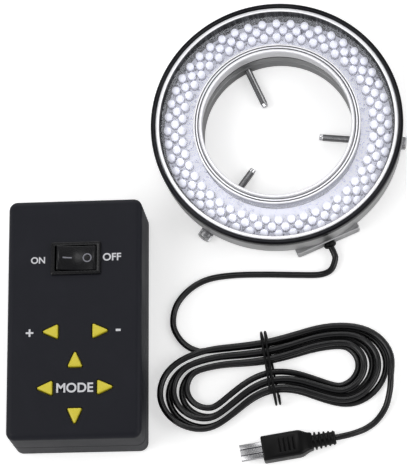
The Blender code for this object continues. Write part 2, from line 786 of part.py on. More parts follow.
def build_control_board(box, board_green):
    """Board across the case, held between columns and bosses, with a switch under each button."""
    shape = bmesh.new()
    foot = CONTROL_BOARD_HEIGHT
    top = foot + BOARD_THICKNESS
    width = BOX_WIDTH - 2 * (BOX_WALL + GAP)
    length = BOX_LENGTH - 2 * (BOX_WALL + GAP)
    corner = BOX_CORNER - BOX_WALL
    lofted(shape, [rounded_outline(width, length, corner, height) for height in (foot, top)])
    board = place("control_board", mesh_of("control_board", shape), board_green, parent=box)
    switches = bmesh.new()
    for _, x, y, _ in arrow_places():
        half = TACT_WIDTH / 2
        block(switches, (x - half, y - half, top - GAP), (x + half, y + half, top + TACT_HEIGHT))
    boolean(board, cutter_from("tact_bodies", switches, parent=box), "UNION")
    stems = bmesh.new()
    for _, x, y, _ in arrow_places():
        stem_foot = top + TACT_HEIGHT - GAP
        stem_top = top + TACT_HEIGHT + TACT_STEM_HEIGHT
        upright(stems, (x, y), ((TACT_STEM_RADIUS, stem_foot), (TACT_STEM_RADIUS, stem_top)), BOSS_SIDES)
    boolean(board, cutter_from("tact_stems", stems, parent=box), "UNION")
    holes = bmesh.new()
    for spot in boss_places():
        bore = CASE_SCREW_RADIUS + GAP
        upright(holes, spot, ((bore, foot - OVERRUN), (bore, top + OVERRUN)))
    boolean(board, cutter_from("board_screw_holes", holes, parent=box))


def build_arrow_buttons(box, yellow):
    """Yellow arrow buttons, each kept in by a flange behind the front face."""
    under_face = BOX_THICKNESS - BOX_WALL - GAP
    flange_foot = under_face - ARROW_FLANGE_HEIGHT
    switch_top = CONTROL_BOARD_HEIGHT + BOARD_THICKNESS + TACT_HEIGHT + TACT_STEM_HEIGHT
    peg_foot = switch_top + TACT_TRAVEL_GAP
    cap_top = BOX_THICKNESS + ARROW_PROUD
    levels = (
        (-ARROW_PEG_INSET, peg_foot),
        (-ARROW_PEG_INSET, flange_foot),
        (ARROW_FLANGE, flange_foot),
        (ARROW_FLANGE, under_face),
        (0, under_face),
        (0, cap_top - ARROW_BEVEL),
        (-ARROW_BEVEL, cap_top),
    )
    for name, x, y, heading in arrow_places():
        frame = arrow_frame(x, y, heading)
        shape = bmesh.new()
        lofted(shape, [[(px, py, height) for px, py in arrow_outline(grow)] for grow, height in levels])
        place(name, mesh_of(name, shape), yellow, frame, box)


def pivot_height():
    """Return the height of the rocker's pivot."""
    return BOX_THICKNESS + SWITCH_FLANGE_HEIGHT - ROCKER_PIVOT_DROP - ROCKER_SADDLE_RISE


def build_switch_body(box, black):
    """Flanged body of the rocker switch, with a well for the rocker and two pin holes."""
    top = BOX_THICKNESS + SWITCH_FLANGE_HEIGHT
    flange_foot = BOX_THICKNESS + GAP
    bottom = CONTROL_BOARD_HEIGHT + BOARD_THICKNESS + GAP
    x, y = CONTROLS_OFFSET, SWITCH_LEVEL
    rings = []
    sizes = (
        (SWITCH_BODY_WIDTH, SWITCH_BODY_LENGTH, bottom),
        (SWITCH_BODY_WIDTH, SWITCH_BODY_LENGTH, flange_foot),
        (SWITCH_FLANGE_WIDTH, SWITCH_FLANGE_LENGTH, flange_foot),
        (SWITCH_FLANGE_WIDTH, SWITCH_FLANGE_LENGTH, top - SWITCH_FLANGE_BEVEL),
        (SWITCH_FLANGE_WIDTH - 2 * SWITCH_FLANGE_BEVEL, SWITCH_FLANGE_LENGTH - 2 * SWITCH_FLANGE_BEVEL, top),
    )
    for width, length, height in sizes:
        half_x = width / 2
        half_y = length / 2
        corners = ((-half_x, -half_y), (half_x, -half_y), (half_x, half_y), (-half_x, half_y))
        rings.append([(x + cx, y + cy, height) for cx, cy in corners])
    shape = bmesh.new()
    lofted(shape, rings)
    body = place("switch_body", mesh_of("switch_body", shape), black, parent=box)
    well = bmesh.new()
    half_x = ROCKER_WIDTH / 2 + 2 * GAP
    half_y = ROCKER_LENGTH / 2 + GAP
    well_foot = pivot_height() - ROCKER_HEEL_DEPTH - 2 * GAP
    block(well, (x - half_x, y - half_y, well_foot), (x + half_x, y + half_y, top + OVERRUN))
    boolean(body, cutter_from("rocker_well", well, parent=box))
    pins = bmesh.new()
    reach = ROCKER_LENGTH / 2 + ROCKER_PIN_LENGTH + GAP
    turned_solid(pins, ((ROCKER_PIN_RADIUS + GAP, -reach), (ROCKER_PIN_RADIUS + GAP, reach)), BOSS_SIDES)
    frame = Matrix.Translation((x, y, pivot_height())) @ Matrix.Rotation(radians(90), 4, "X")
    boolean(body, cutter_from("rocker_pin_holes", pins, frame, box))


def build_rocker(box, black):
    """Saddle-shaped rocker on two pins, resting with its right side pressed."""
    saddle = ROCKER_SADDLE_RISE + ROCKER_PIVOT_DROP
    wing = ROCKER_WING_RISE + ROCKER_PIVOT_DROP
    half = ROCKER_WIDTH / 2
    heel = ROCKER_HEEL_WIDTH / 2
    outline = (
        (-half, wing - ROCKER_SKIRT),
        (-heel, -ROCKER_HEEL_DEPTH),
        (heel, -ROCKER_HEEL_DEPTH),
        (half, wing - ROCKER_SKIRT),
        (half, wing),
        (0.0, saddle),
        (-half, wing),
    )
    reach = ROCKER_LENGTH / 2
    shape = bmesh.new()
    lofted(shape, [[(px, side, pz) for px, pz in outline] for side in (-reach, reach)])
    frame = Matrix.Translation((CONTROLS_OFFSET, SWITCH_LEVEL, pivot_height()))
    frame = frame @ Matrix.Rotation(radians(ROCKER_TILT), 4, "Y")
    rocker = place("rocker", mesh_of("rocker", shape), black, frame, box)
    bevel(rocker, ROCKER_BEVEL, 1)
    pins = bmesh.new()
    pin_reach = reach + ROCKER_PIN_LENGTH
    turned_solid(pins, ((ROCKER_PIN_RADIUS, -pin_reach), (ROCKER_PIN_RADIUS, pin_reach)), BOSS_SIDES)
    pin_frame = frame @ Matrix.Rotation(radians(90), 4, "X")
    boolean(rocker, cutter_from("rocker_pins", pins, pin_frame, box), "UNION")


def build_socket_panel(box, black):
    """Recessed panel that carries the two sockets in the top end."""
    middle = panel_height()
    outer_y = BOX_LENGTH / 2 - PANEL_RECESS
    inner_y = outer_y - PANEL_THICKNESS
    x = CONTROLS_OFFSET
    shape = bmesh.new()
    half_x = PANEL_WIDTH / 2
    half_z = PANEL_HEIGHT / 2
    block(shape, (x - half_x, inner_y, middle - half_z), (x + half_x, outer_y, middle + half_z))
    panel = place("socket_panel", mesh_of("socket_panel", shape), black, parent=box)
    slot = bmesh.new()
    half_w = USB_WIDTH / 2 + GAP
    half_h = USB_HEIGHT / 2 + GAP
    usb_x = x + USB_OFFSET
    low_y, high_y = inner_y - OVERRUN, outer_y + OVERRUN
    block(slot, (usb_x - half_w, low_y, middle - half_h), (usb_x + half_w, high_y, middle + half_h))
    boolean(panel, cutter_from("usb_window", slot, parent=box))
    hole = bmesh.new()
    turned_solid(hole, ((JACK_RADIUS + GAP, low_y), (JACK_RADIUS + GAP, high_y)), JACK_SIDES)
    frame = Matrix.Translation((x + JACK_OFFSET, 0, middle)) @ Matrix.Rotation(radians(-90), 4, "X")
    boolean(panel, cutter_from("jack_window", hole, frame, box))


def build_usb_socket(box, polished):
    """Small metal socket that the cord's plug goes into, with its tongue."""
    middle = panel_height()
    front = BOX_LENGTH / 2 - PANEL_RECESS
    back = front - USB_DEPTH
    x = CONTROLS_OFFSET + USB_OFFSET
    shape = bmesh.new()
    outer_w, outer_h = USB_WIDTH / 2, USB_HEIGHT / 2
    block(shape, (x - outer_w, back, middle - outer_h), (x + outer_w, front, middle + outer_h))
    socket = place("usb_socket", mesh_of("usb_socket", shape), polished, parent=box)
    half_w = USB_WIDTH / 2 - USB_WALL
    half_h = USB_HEIGHT / 2 - USB_WALL
    hollow = bmesh.new()
    low, high = (x - half_w, back + USB_BACK, middle - half_h), (x + half_w, front + OVERRUN, middle + half_h)
    block(hollow, low, high)
    boolean(socket, cutter_from("usb_bore", hollow, parent=box))
    tongue = bmesh.new()
    half_t = USB_TONGUE_WIDTH / 2
    half_z = USB_TONGUE_HEIGHT / 2
    low = (x - half_t, back + USB_BACK / 2, middle - half_z)
    high = (x + half_t, front - USB_BACK, middle + half_z)
    block(tongue, low, high)
    boolean(socket, cutter_from("usb_tongue", tongue, parent=box), "UNION")


def build_power_jack(box, black):
    """Round power jack with its centre pin."""
    middle = panel_height()
    front = BOX_LENGTH / 2 - PANEL_RECESS
    back = front - JACK_DEPTH
    profile = (
        (JACK_RADIUS, back),
        (JACK_RADIUS, front),
        (JACK_BORE, front),
        (JACK_BORE, back + JACK_BACK),
        (JACK_PIN_RADIUS, back + JACK_BACK),
        (JACK_PIN_RADIUS, front - JACK_BACK),
    )
    shape = bmesh.new()
    turned_solid(shape, profile, JACK_SIDES)
    spot = Matrix.Translation((CONTROLS_OFFSET + JACK_OFFSET, 0, middle))
    frame = spot @ Matrix.Rotation(radians(-90), 4, "X")
    place("power_jack", mesh_of("power_jack", shape), black, frame, box)


# Cord

def cord_exit():
    """Return the place where the cord leaves the grommet."""
    reach = BLOCK_FACE + GROMMET_FLANGE + 2 * GAP
    return radial_frame(BLOCK_ANGLE, SCREW_HEIGHT) @ Vector((0, 0, reach))


def from_exit(place_from_exit):
    """Return a place that is given over the ground from the cord's exit."""
    start = cord_exit()
    return Vector((start.x + place_from_exit[0], start.y + place_from_exit[1], place_from_exit[2]))


def smooth_route(points, step):
    """Sample a smooth curve through the points at an even step."""
    knots = [Vector(point) for point in points]
    knots = [2 * knots[0] - knots[1]] + knots + [2 * knots[-1] - knots[-2]]
    fine = []
    for before, start, end, after in zip(knots, knots[1:], knots[2:], knots[3:]):
        for part in range(ROUTE_PARTS):
            t = part / ROUTE_PARTS
            fine.append(
                0.5 * (2 * start + (end - before) * t
                       + (2 * before - 5 * start + 4 * end - after) * t * t
                       + (3 * start - before - 3 * end + after) * t * t * t)
            )
    fine.append(knots[-2])
    lengths = [0.0]
    for first, second in zip(fine, fine[1:]):
        lengths.append(lengths[-1] + (second - first).length)
    count = max(2, round(lengths[-1] / step))
    samples = []
    place_in_fine = 0
    for index in range(count + 1):
        wanted = lengths[-1] * index / count
        while place_in_fine < len(lengths) - 2 and lengths[place_in_fine + 1] < wanted:
            place_in_fine += 1
        span = lengths[place_in_fine + 1] - lengths[place_in_fine]
        share = (wanted - lengths[place_in_fine]) / span
        samples.append(fine[place_in_fine].lerp(fine[place_in_fine + 1], share))
    return samples


def tube(name, points, radius, material, resolution=2):
    """Make one unbroken tube along points, with filled ends."""
    curve = bpy.data.curves.new(name, "CURVE")
    curve.dimensions = "3D"
    curve.bevel_depth = radius
    curve.bevel_resolution = resolution
    curve.use_fill_caps = True
    spline = curve.splines.new("POLY")
    spline.points.add(len(points) - 1)
    for knot, point in zip(spline.points, points):
        knot.co = (*point, 1)
    return place(name, curve, material)


def stadium_point(phase, grow):
    """Return a hank loop's local place. Phase 0 is the middle of the far run, a whole turn is 1."""
    fold = FOLD_RADIUS + LOOP_PITCH * grow
    right = RUN_RIGHT + RUN_GROWTH * grow
    left = RUN_LEFT + RUN_GROWTH * grow
    turn = phase % 1
    half_run = (1 - 2 * FOLD_SHARE) / 4
    if turn < half_run:
        across, along = fold, right * turn / half_run
    elif turn < half_run + FOLD_SHARE:
        swing = (turn - half_run) / FOLD_SHARE * pi
        across, along = fold * cos(swing), right + fold * sin(swing)
    elif turn < 3 * half_run + FOLD_SHARE:
        share = (turn - half_run - FOLD_SHARE) / (2 * half_run)
        across, along = -fold, right - (right + left) * share
    elif turn < 3 * half_run + 2 * FOLD_SHARE:
        swing = (turn - 3 * half_run - FOLD_SHARE) / FOLD_SHARE * pi
        across, along = -fold * cos(swing), -left - fold * sin(swing)
    else:
        share = (turn - 3 * half_run - 2 * FOLD_SHARE) / half_run
        across, along = fold, -left * (1 - share)
    return along, across


def hank_points():
    """Return the places along the hank: in on the lower layer, out again on the upper one."""
    draw_in = FOLD_RADIUS - WAIST_HALF
    points = []
    for step in range(STEPS_TO_REVERSAL + STEPS_TO_END + 1):
        past_reversal = step - STEPS_TO_REVERSAL
        climb = min(1.0, max(0.0, (past_reversal + CLIMB_STEPS) / (2 * CLIMB_STEPS)))
        climb = climb * climb * (3 - 2 * climb)
        phase = (step - STEPS_BEFORE_MIDDLE) / POINTS_PER_LOOP
        along, across = stadium_point(phase, abs(past_reversal) / POINTS_PER_LOOP)
        closeness = max(0.0, 1 - (along / WAIST_REACH) ** 2) ** 2
        side = 1 if across > 0 else -1
        across -= side * draw_in * closeness
        swing = along / BOW_RADIUS
        bowed = (BOW_RADIUS + across) * sin(swing), (BOW_RADIUS + across) * cos(swing) - BOW_RADIUS
        height = CORD_RADIUS + CORD_LIFT + LAYER_RISE * climb + WAIST_LIFT * closeness
        points.append(Vector((*bowed, height)))
    turn = Matrix.Rotation(radians(HANK_ANGLE), 3, "Z")
    return [from_exit(HANK_PLACE) + turn @ point for point in points]


def least_gap(points, radius, skip):
    """Return the least clear distance between far stretches of one tube."""
    fine = []
    for first, second in zip(points, points[1:]):
        fine.extend(first.lerp(second, share / 4) for share in range(4))
    fine.append(points[-1])
    least = None
    for index, one in enumerate(fine):
        for other in fine[index + 4 * skip:]:
            distance = (other - one).length
            if least is None or distance < least:
                least = distance
    return least - 2 * radius


def joined_route(points, hank_end, heading, at_start):
    """Return a route with a straight stretch of one diameter that meets the hank squarely."""
    near = hank_end + heading * GAP
    far = near + heading * (2 * CORD_RADIUS)
    ends = [near, far] if at_start else [far, near]
    return ends + list(points) if at_start else list(points) + ends


def build_cord(rubber):
    """Free stretch from the ring, the hank with its tie, and the stretch to the plug."""
    hank = hank_points()
    tube("cord_hank", hank, CORD_RADIUS, rubber, 1)
    arriving = (hank[1] - hank[0]).normalized()
    leaving = (hank[-1] - hank[-2]).normalized()
    ring_route = joined_route([from_exit(spot) for spot in RING_ROUTE], hank[0], -arriving, False)
    outward = radial_frame(BLOCK_ANGLE, 0).to_3x3() @ Vector((0, 0, 1))
    ring_route = [cord_exit(), cord_exit() + outward * (2 * CORD_RADIUS)] + ring_route
    ring_stretch = square_ends(smooth_route(ring_route, CORD_STEP), outward, arriving)
    tube("cord_to_ring", ring_stretch, CORD_RADIUS, rubber)
    plug_way = plug_frame().to_3x3() @ Vector((1, 0, 0))
    plug_entry = from_exit(PLUG_PLACE) - plug_way * GAP
    plug_route = joined_route([from_exit(spot) for spot in PLUG_ROUTE], hank[-1], leaving, True)
    plug_route = plug_route + [plug_entry - plug_way * (2 * CORD_RADIUS), plug_entry]
    plug_stretch = square_ends(smooth_route(plug_route, CORD_STEP), leaving, plug_way)
    tube("cord_to_plug", plug_stretch, CORD_RADIUS, rubber)
    build_tie(rubber)
    print("hank starts", hank[0], arriving)
    print("hank ends", hank[-1], leaving)
    print("hank from", min(point.x for point in hank), "to", max(point.x for point in hank))
    print("hank's least gap to itself in metres", least_gap(hank, CORD_RADIUS, 3))
    print("cord length in metres", sum(path_length(path) for path in (ring_stretch, hank, plug_stretch)))


def path_length(points):
    """Return the length along a list of points."""
    return sum((second - first).length for first, second in zip(points, points[1:]))


def square_ends(points, start_way, end_way):
    """Make the first and last runs of a sampled route straight and square to what they meet."""
    first, last = points[0], points[-1]
    reach = 2 * CORD_RADIUS
    inner = [point for point in points[1:-1] if min((point - first).length, (point - last).length) > reach]
    return [first, first + start_way * reach] + inner + [last - end_way * reach, last]


def tie_outline():
    """Return one turn of the tie as places (across, height) round the hank's waist."""
    outer_strand = WAIST_HALF + LOOP_PITCH * STEPS_TO_END / POINTS_PER_LOOP
    room = CORD_RADIUS + TIE_CLEARANCE + TIE_RADIUS
    low = CORD_RADIUS + CORD_LIFT + WAIST_LIFT
    high = low + LAYER_RISE
    half_height = (high - low) / 2 + room
    middle = (high + low) / 2
    places = []
    for side in (1, -1):
        for step in range(TIE_FLAT_STEPS):
            share = step / TIE_FLAT_STEPS
            places.append((side * outer_strand * (2 * share - 1), middle + side * half_height))
        for step in range(TIE_END_STEPS):
            turn = pi * step / TIE_END_STEPS
            across = outer_strand + half_height * sin(turn)
            places.append((side * across, middle + side * half_height * cos(turn)))
    return places


def build_tie(rubber):
    """Thin tie wound round the hank's waist."""
    turn_places = tie_outline()
    steps = TIE_TURNS * len(turn_places)
    points = []
    for step in range(steps):
        across, height = turn_places[step % len(turn_places)]
        along = TIE_PITCH * TIE_TURNS * (step / steps - 1 / 2)
        points.append(Vector((along, across, height)))
    frame = Matrix.Translation(from_exit(HANK_PLACE)) @ Matrix.Rotation(radians(HANK_ANGLE), 4, "Z")
    tube("twist_tie", [frame @ point for point in points], TIE_RADIUS, rubber, 1)


def plug_frame():
    """Return the plug's frame: X runs from the cord to the tip."""
    return Matrix.Translation(from_exit(PLUG_PLACE)) @ Matrix.Rotation(radians(PLUG_ANGLE), 4, "Z")


def build_plug(rubber, polished):
    """Ribbed strain relief, moulded plug body and hollow metal tip."""
    frame = plug_frame()
    lay_along = frame @ Matrix.Rotation(radians(90), 4, "Y")
    ribs = []
    pitch = RELIEF_LENGTH / RELIEF_RIBS
    for rib in range(RELIEF_RIBS):
        crown = RELIEF_RIB_RADIUS - RELIEF_TAPER * (RELIEF_RIBS - 1 - rib) / (RELIEF_RIBS - 1)
        start = rib * pitch
        ribs.append((RELIEF_NECK_RADIUS, start))
        ribs.append((crown, start + pitch / 4))
        ribs.append((crown, start + pitch / 2))
        ribs.append((RELIEF_NECK_RADIUS, start + 3 * pitch / 4))
    ribs.append((RELIEF_NECK_RADIUS, RELIEF_LENGTH - GAP))
    shape = bmesh.new()
    turned_solid(shape, ribs, GROMMET_SIDES)
    place("plug_relief", mesh_of("plug_relief", shape), rubber, lay_along)

    half_w = PLUG_WIDTH / 2
    half_t = PLUG_THICKNESS / 2
    tail = PLUG_TAIL_SHARE
    shoulder = RELIEF_LENGTH + PLUG_LENGTH * (1 - PLUG_SHOULDER_SHARE)
    rings = []
    for along, scale in ((RELIEF_LENGTH, tail), (shoulder, 1), (RELIEF_LENGTH + PLUG_LENGTH, 1)):
        corners = ((-half_w, -half_t), (half_w, -half_t), (half_w, half_t), (-half_w, half_t))
        rings.append([(along, y * scale, z * scale) for y, z in corners])
    shape = bmesh.new()
    lofted(shape, rings)
    body = place("plug_body", mesh_of("plug_body", shape), rubber, frame)
    bevel(body, PLUG_BEVEL, angle=PLUG_BEVEL_ANGLE)
    grips = bmesh.new()
    for side in (-1, 1):
        for rib in range(GRIP_RIBS):
            middle = shoulder + GRIP_RIB_PITCH * (rib + 1)
            half = GRIP_RIB_WIDTH / 2
            heights = sorted((side * (half_t - GRIP_RIB_DEPTH), side * (half_t + OVERRUN)))
            low = (middle - half, -GRIP_RIB_LENGTH / 2, heights[0])
            high = (middle + half, GRIP_RIB_LENGTH / 2, heights[1])
            block(grips, low, high)
    boolean(body, cutter_from("grip_grooves", grips, frame))

    foot = RELIEF_LENGTH + PLUG_LENGTH + GAP
    face = foot + TIP_LENGTH
    half_foot, half_wide, half_high = TIP_FOOT_WIDTH / 2, TIP_WIDTH / 2, TIP_HEIGHT / 2
    outline = ((-half_foot, -half_high), (half_foot, -half_high), (half_wide, 0),
               (half_wide, half_high), (-half_wide, half_high), (-half_wide, 0))
    inner_share = 1 - 2 * TIP_WALL / TIP_HEIGHT
    stations = ((foot, 1), (face, 1), (face, inner_share), (face - TIP_BORE_DEPTH, inner_share))
    rings = [[(along, y * share, z * share) for y, z in outline] for along, share in stations]
    shape = bmesh.new()
    lofted(shape, rings)
    place("plug_tip", mesh_of("plug_tip", shape), polished, frame)


def build_ring_light():
    """Build every piece of the ring light."""
    clear_scene()
    aluminium = finish("satin_aluminium", (0.62, 0.62, 0.63), 0.34, 1)
    polished = finish("polished_metal", (0.86, 0.86, 0.88), 0.12, 1)
    black_metal = finish("black_anodised", (0.015, 0.015, 0.017), 0.25, 0.6)
    clear = finish("clear_cover", (0.93, 0.94, 0.98), 0.05, 0)
    board_white = finish("lamp_white", (0.90, 0.90, 0.96), 0.30, 0)
    steel = finish("screw_steel", (0.42, 0.42, 0.43), 0.28, 1)
    rubber = finish("cord_black", (0.012, 0.012, 0.013), 0.42, 0)
    black = finish("case_black", (0.018, 0.019, 0.022), 0.50, 0)
    switch_black = finish("switch_black", (0.010, 0.010, 0.011), 0.30, 0)
    yellow = finish("button_yellow", (0.86, 0.74, 0.06), 0.42, 0)
    board_green = finish("board_green", (0.03, 0.22, 0.10), 0.45, 0)

    build_housing(aluminium)
    build_hoop(black_metal)
    build_cover(clear)
    build_lip(polished)
    build_lamp_board(board_white)
    build_collar(aluminium)
    build_thumbscrews(steel)
    build_cable_block(aluminium)
    build_grommet(rubber)

    box = bpy.data.objects.new("control_box_place", None)
    bpy.context.scene.collection.objects.link(box)
    box.location = BOX_PLACE
    window = panel_cutter(box)
    build_front_case(box, black, window)
    build_back_case(box, black, window)
    build_case_screws(box, steel)
    build_control_board(box, board_green)
    build_arrow_buttons(box, yellow)
    build_switch_body(box, switch_black)
    build_rocker(box, switch_black)
    build_socket_panel(box, black)
    build_usb_socket(box, polished)
    build_power_jack(box, switch_black)

    build_cord(rubber)
    build_plug(rubber, polished)


build_ring_light()
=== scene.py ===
"""Looks of the microscope ring light with its control box, cord and plug.

Metres, +Z up. The origin is the middle of the ring's bore, on the surface that everything lies on.
"""

from __future__ import annotations

import logging
from abc import ABC, abstractmethod
from dataclasses import dataclass, field
from enum import Enum
from math import acos, cos, hypot, pi, radians, sin, tan
from typing import Callable, Iterable, Sequence, Union

import bmesh
import bpy
from mathutils import Matrix, Vector


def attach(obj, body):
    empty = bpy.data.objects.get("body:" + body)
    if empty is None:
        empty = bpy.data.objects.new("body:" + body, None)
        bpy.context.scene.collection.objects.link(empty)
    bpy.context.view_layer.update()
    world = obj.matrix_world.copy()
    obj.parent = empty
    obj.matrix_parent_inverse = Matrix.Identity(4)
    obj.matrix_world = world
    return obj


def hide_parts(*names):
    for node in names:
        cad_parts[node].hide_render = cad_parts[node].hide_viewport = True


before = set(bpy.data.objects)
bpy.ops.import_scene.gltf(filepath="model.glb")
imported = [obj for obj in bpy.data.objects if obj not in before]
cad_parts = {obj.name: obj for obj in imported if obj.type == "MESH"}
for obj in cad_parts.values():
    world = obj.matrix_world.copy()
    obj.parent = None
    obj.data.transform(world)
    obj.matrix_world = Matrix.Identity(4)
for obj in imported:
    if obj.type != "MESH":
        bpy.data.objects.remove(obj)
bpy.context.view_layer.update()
LOG = logging.getLogger("ring_light")

Point = Sequence[float]
Flat = tuple[float, float]
Corner = tuple[float, float, float]
Paint = Callable[[Vector, float], int]

ROOT = "ring_light"
GAP = 0.0003
SCREW_ANGLES = (114.0, 234.0, 354.0)
EXIT_ANGLE = -67.0
RADIAL_HEIGHT = 0.0031


class Op(Enum):
    """Maths that a shader value can go through."""

    ADD = "ADD"
    SUBTRACT = "SUBTRACT"
    MULTIPLY = "MULTIPLY"
    POWER = "POWER"
    LESS = "LESS_THAN"
    GREATER = "GREATER_THAN"
    LEAST = "MINIMUM"
    MOST = "MAXIMUM"
    FRACTION = "FRACT"


class Sock:
    """One output of a node, which works in Python sums."""

    def __init__(self, graph: "Graph", socket: bpy.types.NodeSocket) -> None:
        """Wrap a socket of a graph."""
        self.graph = graph
        self.socket = socket

    def maths(self, op: Op, other: "Term" = 0.0, swapped: bool = False) -> "Sock":
        """Put the socket and another term through one step of maths.

        Args:
            op: the operation.
            other: a number or another socket.
            swapped: whether the other term comes first.

        Returns:
            The result as a socket.
        """
        pair = (other, self) if swapped else (self, other)
        if self.socket.type == "VALUE":
            return self.graph.node("ShaderNodeMath", dict(enumerate(pair)), operation=op.value)
        terms = {
            place: (term,) * 3 if isinstance(term, (int, float)) else term
            for place, term in enumerate(pair)
        }
        return self.graph.node("ShaderNodeVectorMath", terms, operation=op.value)

    def __add__(self, other: "Term") -> "Sock":
        """Sum."""
        return self.maths(Op.ADD, other)

    def __radd__(self, other: "Term") -> "Sock":
        """Sum with the number first."""
        return self.maths(Op.ADD, other)

    def __sub__(self, other: "Term") -> "Sock":
        """Difference."""
        return self.maths(Op.SUBTRACT, other)

    def __rsub__(self, other: "Term") -> "Sock":
        """Difference with the number first."""
        return self.maths(Op.SUBTRACT, other, swapped=True)

    def __mul__(self, other: "Term") -> "Sock":
        """Product."""
        return self.maths(Op.MULTIPLY, other)

    def __rmul__(self, other: "Term") -> "Sock":
        """Product with the number first."""
        return self.maths(Op.MULTIPLY, other)

    def __pow__(self, other: "Term") -> "Sock":
        """Power."""
        return self.maths(Op.POWER, other)

    def __lt__(self, other: "Term") -> "Sock":
        """One where this is less."""
        return self.maths(Op.LESS, other)

    def __gt__(self, other: "Term") -> "Sock":
        """One where this is more."""
        return self.maths(Op.GREATER, other)

    def least(self, other: "Term") -> "Sock":
        """Return the smaller of two."""
        return self.maths(Op.LEAST, other)

    def most(self, other: "Term") -> "Sock":
        """Return the larger of two."""
        return self.maths(Op.MOST, other)

    def fraction(self) -> "Sock":
        """Return what is past the whole number."""
        return self.maths(Op.FRACTION)


Term = Union[float, int, tuple, Sock]


class Graph:
    """The nodes of one material or of the surround."""

    def __init__(self, owner: bpy.types.Material | bpy.types.World) -> None:
        """Empty the owner's nodes but for its output."""
        self.owner = owner
        owner.use_nodes = True
        self.tree = owner.node_tree
        self.tree.nodes.clear()
        kind = "World" if isinstance(owner, bpy.types.World) else "Material"
        self.result = self.tree.nodes.new(f"ShaderNodeOutput{kind}")

    def node(self, kind: str, values: dict | None = None, out: int | str = 0,
             stops: Sequence[tuple[float, Corner]] = (), **settings: object) -> Sock:
        """Add a node.

        Args:
            kind: the node's type.
            values: numbers, colours or sockets for its inputs, by name or place.
            out: which output to return.
            stops: the places and colours of a ramp.
            **settings: the node's own settings.

        Returns:
            One output, wrapped.
        """
        made = self.tree.nodes.new(kind)
        for key, value in settings.items():
            setattr(made, key, value)
        if stops:
            elements = made.color_ramp.elements
            while len(elements) < len(stops):
                elements.new(1.0)
            for element, (place, colour) in zip(elements, stops):
                element.position = place
                element.color = (*colour, 1.0)
        for key, value in (values or {}).items():
            if isinstance(value, Sock):
                self.tree.links.new(value.socket, made.inputs[key])
            elif made.inputs[key].type == "RGBA":
                made.inputs[key].default_value = (*value, 1.0)
            else:
                made.inputs[key].default_value = value
        return Sock(self, made.outputs[out])

    def split(self, vector: Sock) -> tuple[Sock, Sock, Sock]:
        """Return a vector's three numbers."""
        first = self.node("ShaderNodeSeparateXYZ", {0: vector})
        outputs = first.socket.node.outputs
        return first, Sock(self, outputs[1]), Sock(self, outputs[2])

    def join(self, x: Term, y: Term, z: Term) -> Sock:
        """Return a vector from three numbers."""
        return self.node("ShaderNodeCombineXYZ", {0: x, 1: y, 2: z})

    def around(self, spot: Sock) -> Sock:
        """Return the way out from the ring's axis, with a length of one."""
        return self.node("ShaderNodeVectorMath", {0: spot * (1.0, 1.0, 0.0)}, operation="NORMALIZE")

    def noise(self, vector: Sock, scale: float, detail: float = 3.0, roughness: float = 0.5) -> Sock:
        """Return soft noise at a scale per metre."""
        values = {"Vector": vector, "Scale": scale, "Detail": detail, "Roughness": roughness}
        return self.node("ShaderNodeTexNoise", values)

    def grain(self, vector: Sock, scale: float) -> Sock:
        """Return fine cells at a scale per metre."""
        return self.node("ShaderNodeTexVoronoi", {"Vector": vector, "Scale": scale}, out="Distance")

    def mix(self, share: Term, low: Term, high: Term) -> Sock:
        """Return a blend of two colours."""
        return self.node("ShaderNodeMix", {0: share, 6: low, 7: high}, out=2, data_type="RGBA")

    def blend(self, share: Term, low: Sock, high: Sock) -> Sock:
        """Return a blend of two shaders."""
        return self.node("ShaderNodeMixShader", {0: share, 1: low, 2: high})

    def ease(self, value: Sock, low: float, high: float, to_low: float = 0.0, to_high: float = 1.0) -> Sock:
        """Return a value mapped smoothly from one range to another."""
        values = {"Value": value, "From Min": low, "From Max": high, "To Min": to_low, "To Max": to_high}
        return self.node("ShaderNodeMapRange", values, interpolation_type="SMOOTHSTEP")

    def bump(self, height: Sock, strength: float, distance: float) -> Sock:
        """Return a normal from a height in metres."""
        values = {"Height": height, "Strength": strength, "Distance": distance}
        return self.node("ShaderNodeBump", values, out="Normal")

    def principled(self, **values: Term) -> Sock:
        """Add the main shader, with underscores for the spaces in its sockets' names."""
        named = {key.replace("_", " "): value for key, value in values.items()}
        return self.node("ShaderNodeBsdfPrincipled", named)

    def show(self, shader: Sock) -> bpy.types.Material | bpy.types.World:
        """Use a shader as the owner's surface."""
        self.tree.links.new(shader.socket, self.result.inputs["Surface"])
        return self.owner


@dataclass(frozen=True)
class Finish(ABC):
    """One finish of the object."""

    name: str

    @abstractmethod
    def surface(self, graph: Graph, spot: Sock) -> Sock:
        """Return the shader that gives the finish, from the place on the piece in metres."""

    def material(self) -> bpy.types.Material:
        """Return the finish as a material, made once."""
        found = bpy.data.materials.get(self.name)
        if found is not None:
            return found
        graph = Graph(bpy.data.materials.new(self.name))
        return graph.show(self.surface(graph, graph.node("ShaderNodeTexCoord", out="Object")))


@dataclass(frozen=True)
class TurnedMetal(Finish):
    """Metal turned on a lathe, with fine rings in the bump and the gloss."""

    colour: Corner
    dark: Corner
    roughness: float
    rings_per_metre: float = 9000.0
    depth: float = 0.000004
    metal: float = 1.0

    def surface(self, graph: Graph, spot: Sock) -> Sock:
        """Return rings about the ring's axis, with slight stains."""
        x, y, z = graph.split(spot)
        reach = (x * x + y * y) ** 0.5
        pitch = self.rings_per_metre
        rings = graph.noise(graph.join(reach * pitch, z * pitch, 0.0), 1.0, 2.0)
        stain = graph.noise(spot, 60.0, 4.0)
        return graph.principled(
            Base_Color=graph.mix(graph.ease(stain, 0.35, 0.7), self.dark, self.colour),
            Roughness=self.roughness + (rings - 0.5) * 0.16 + (stain - 0.5) * 0.10,
            Metallic=self.metal,
            Normal=graph.bump(rings, 0.35, self.depth),
        )


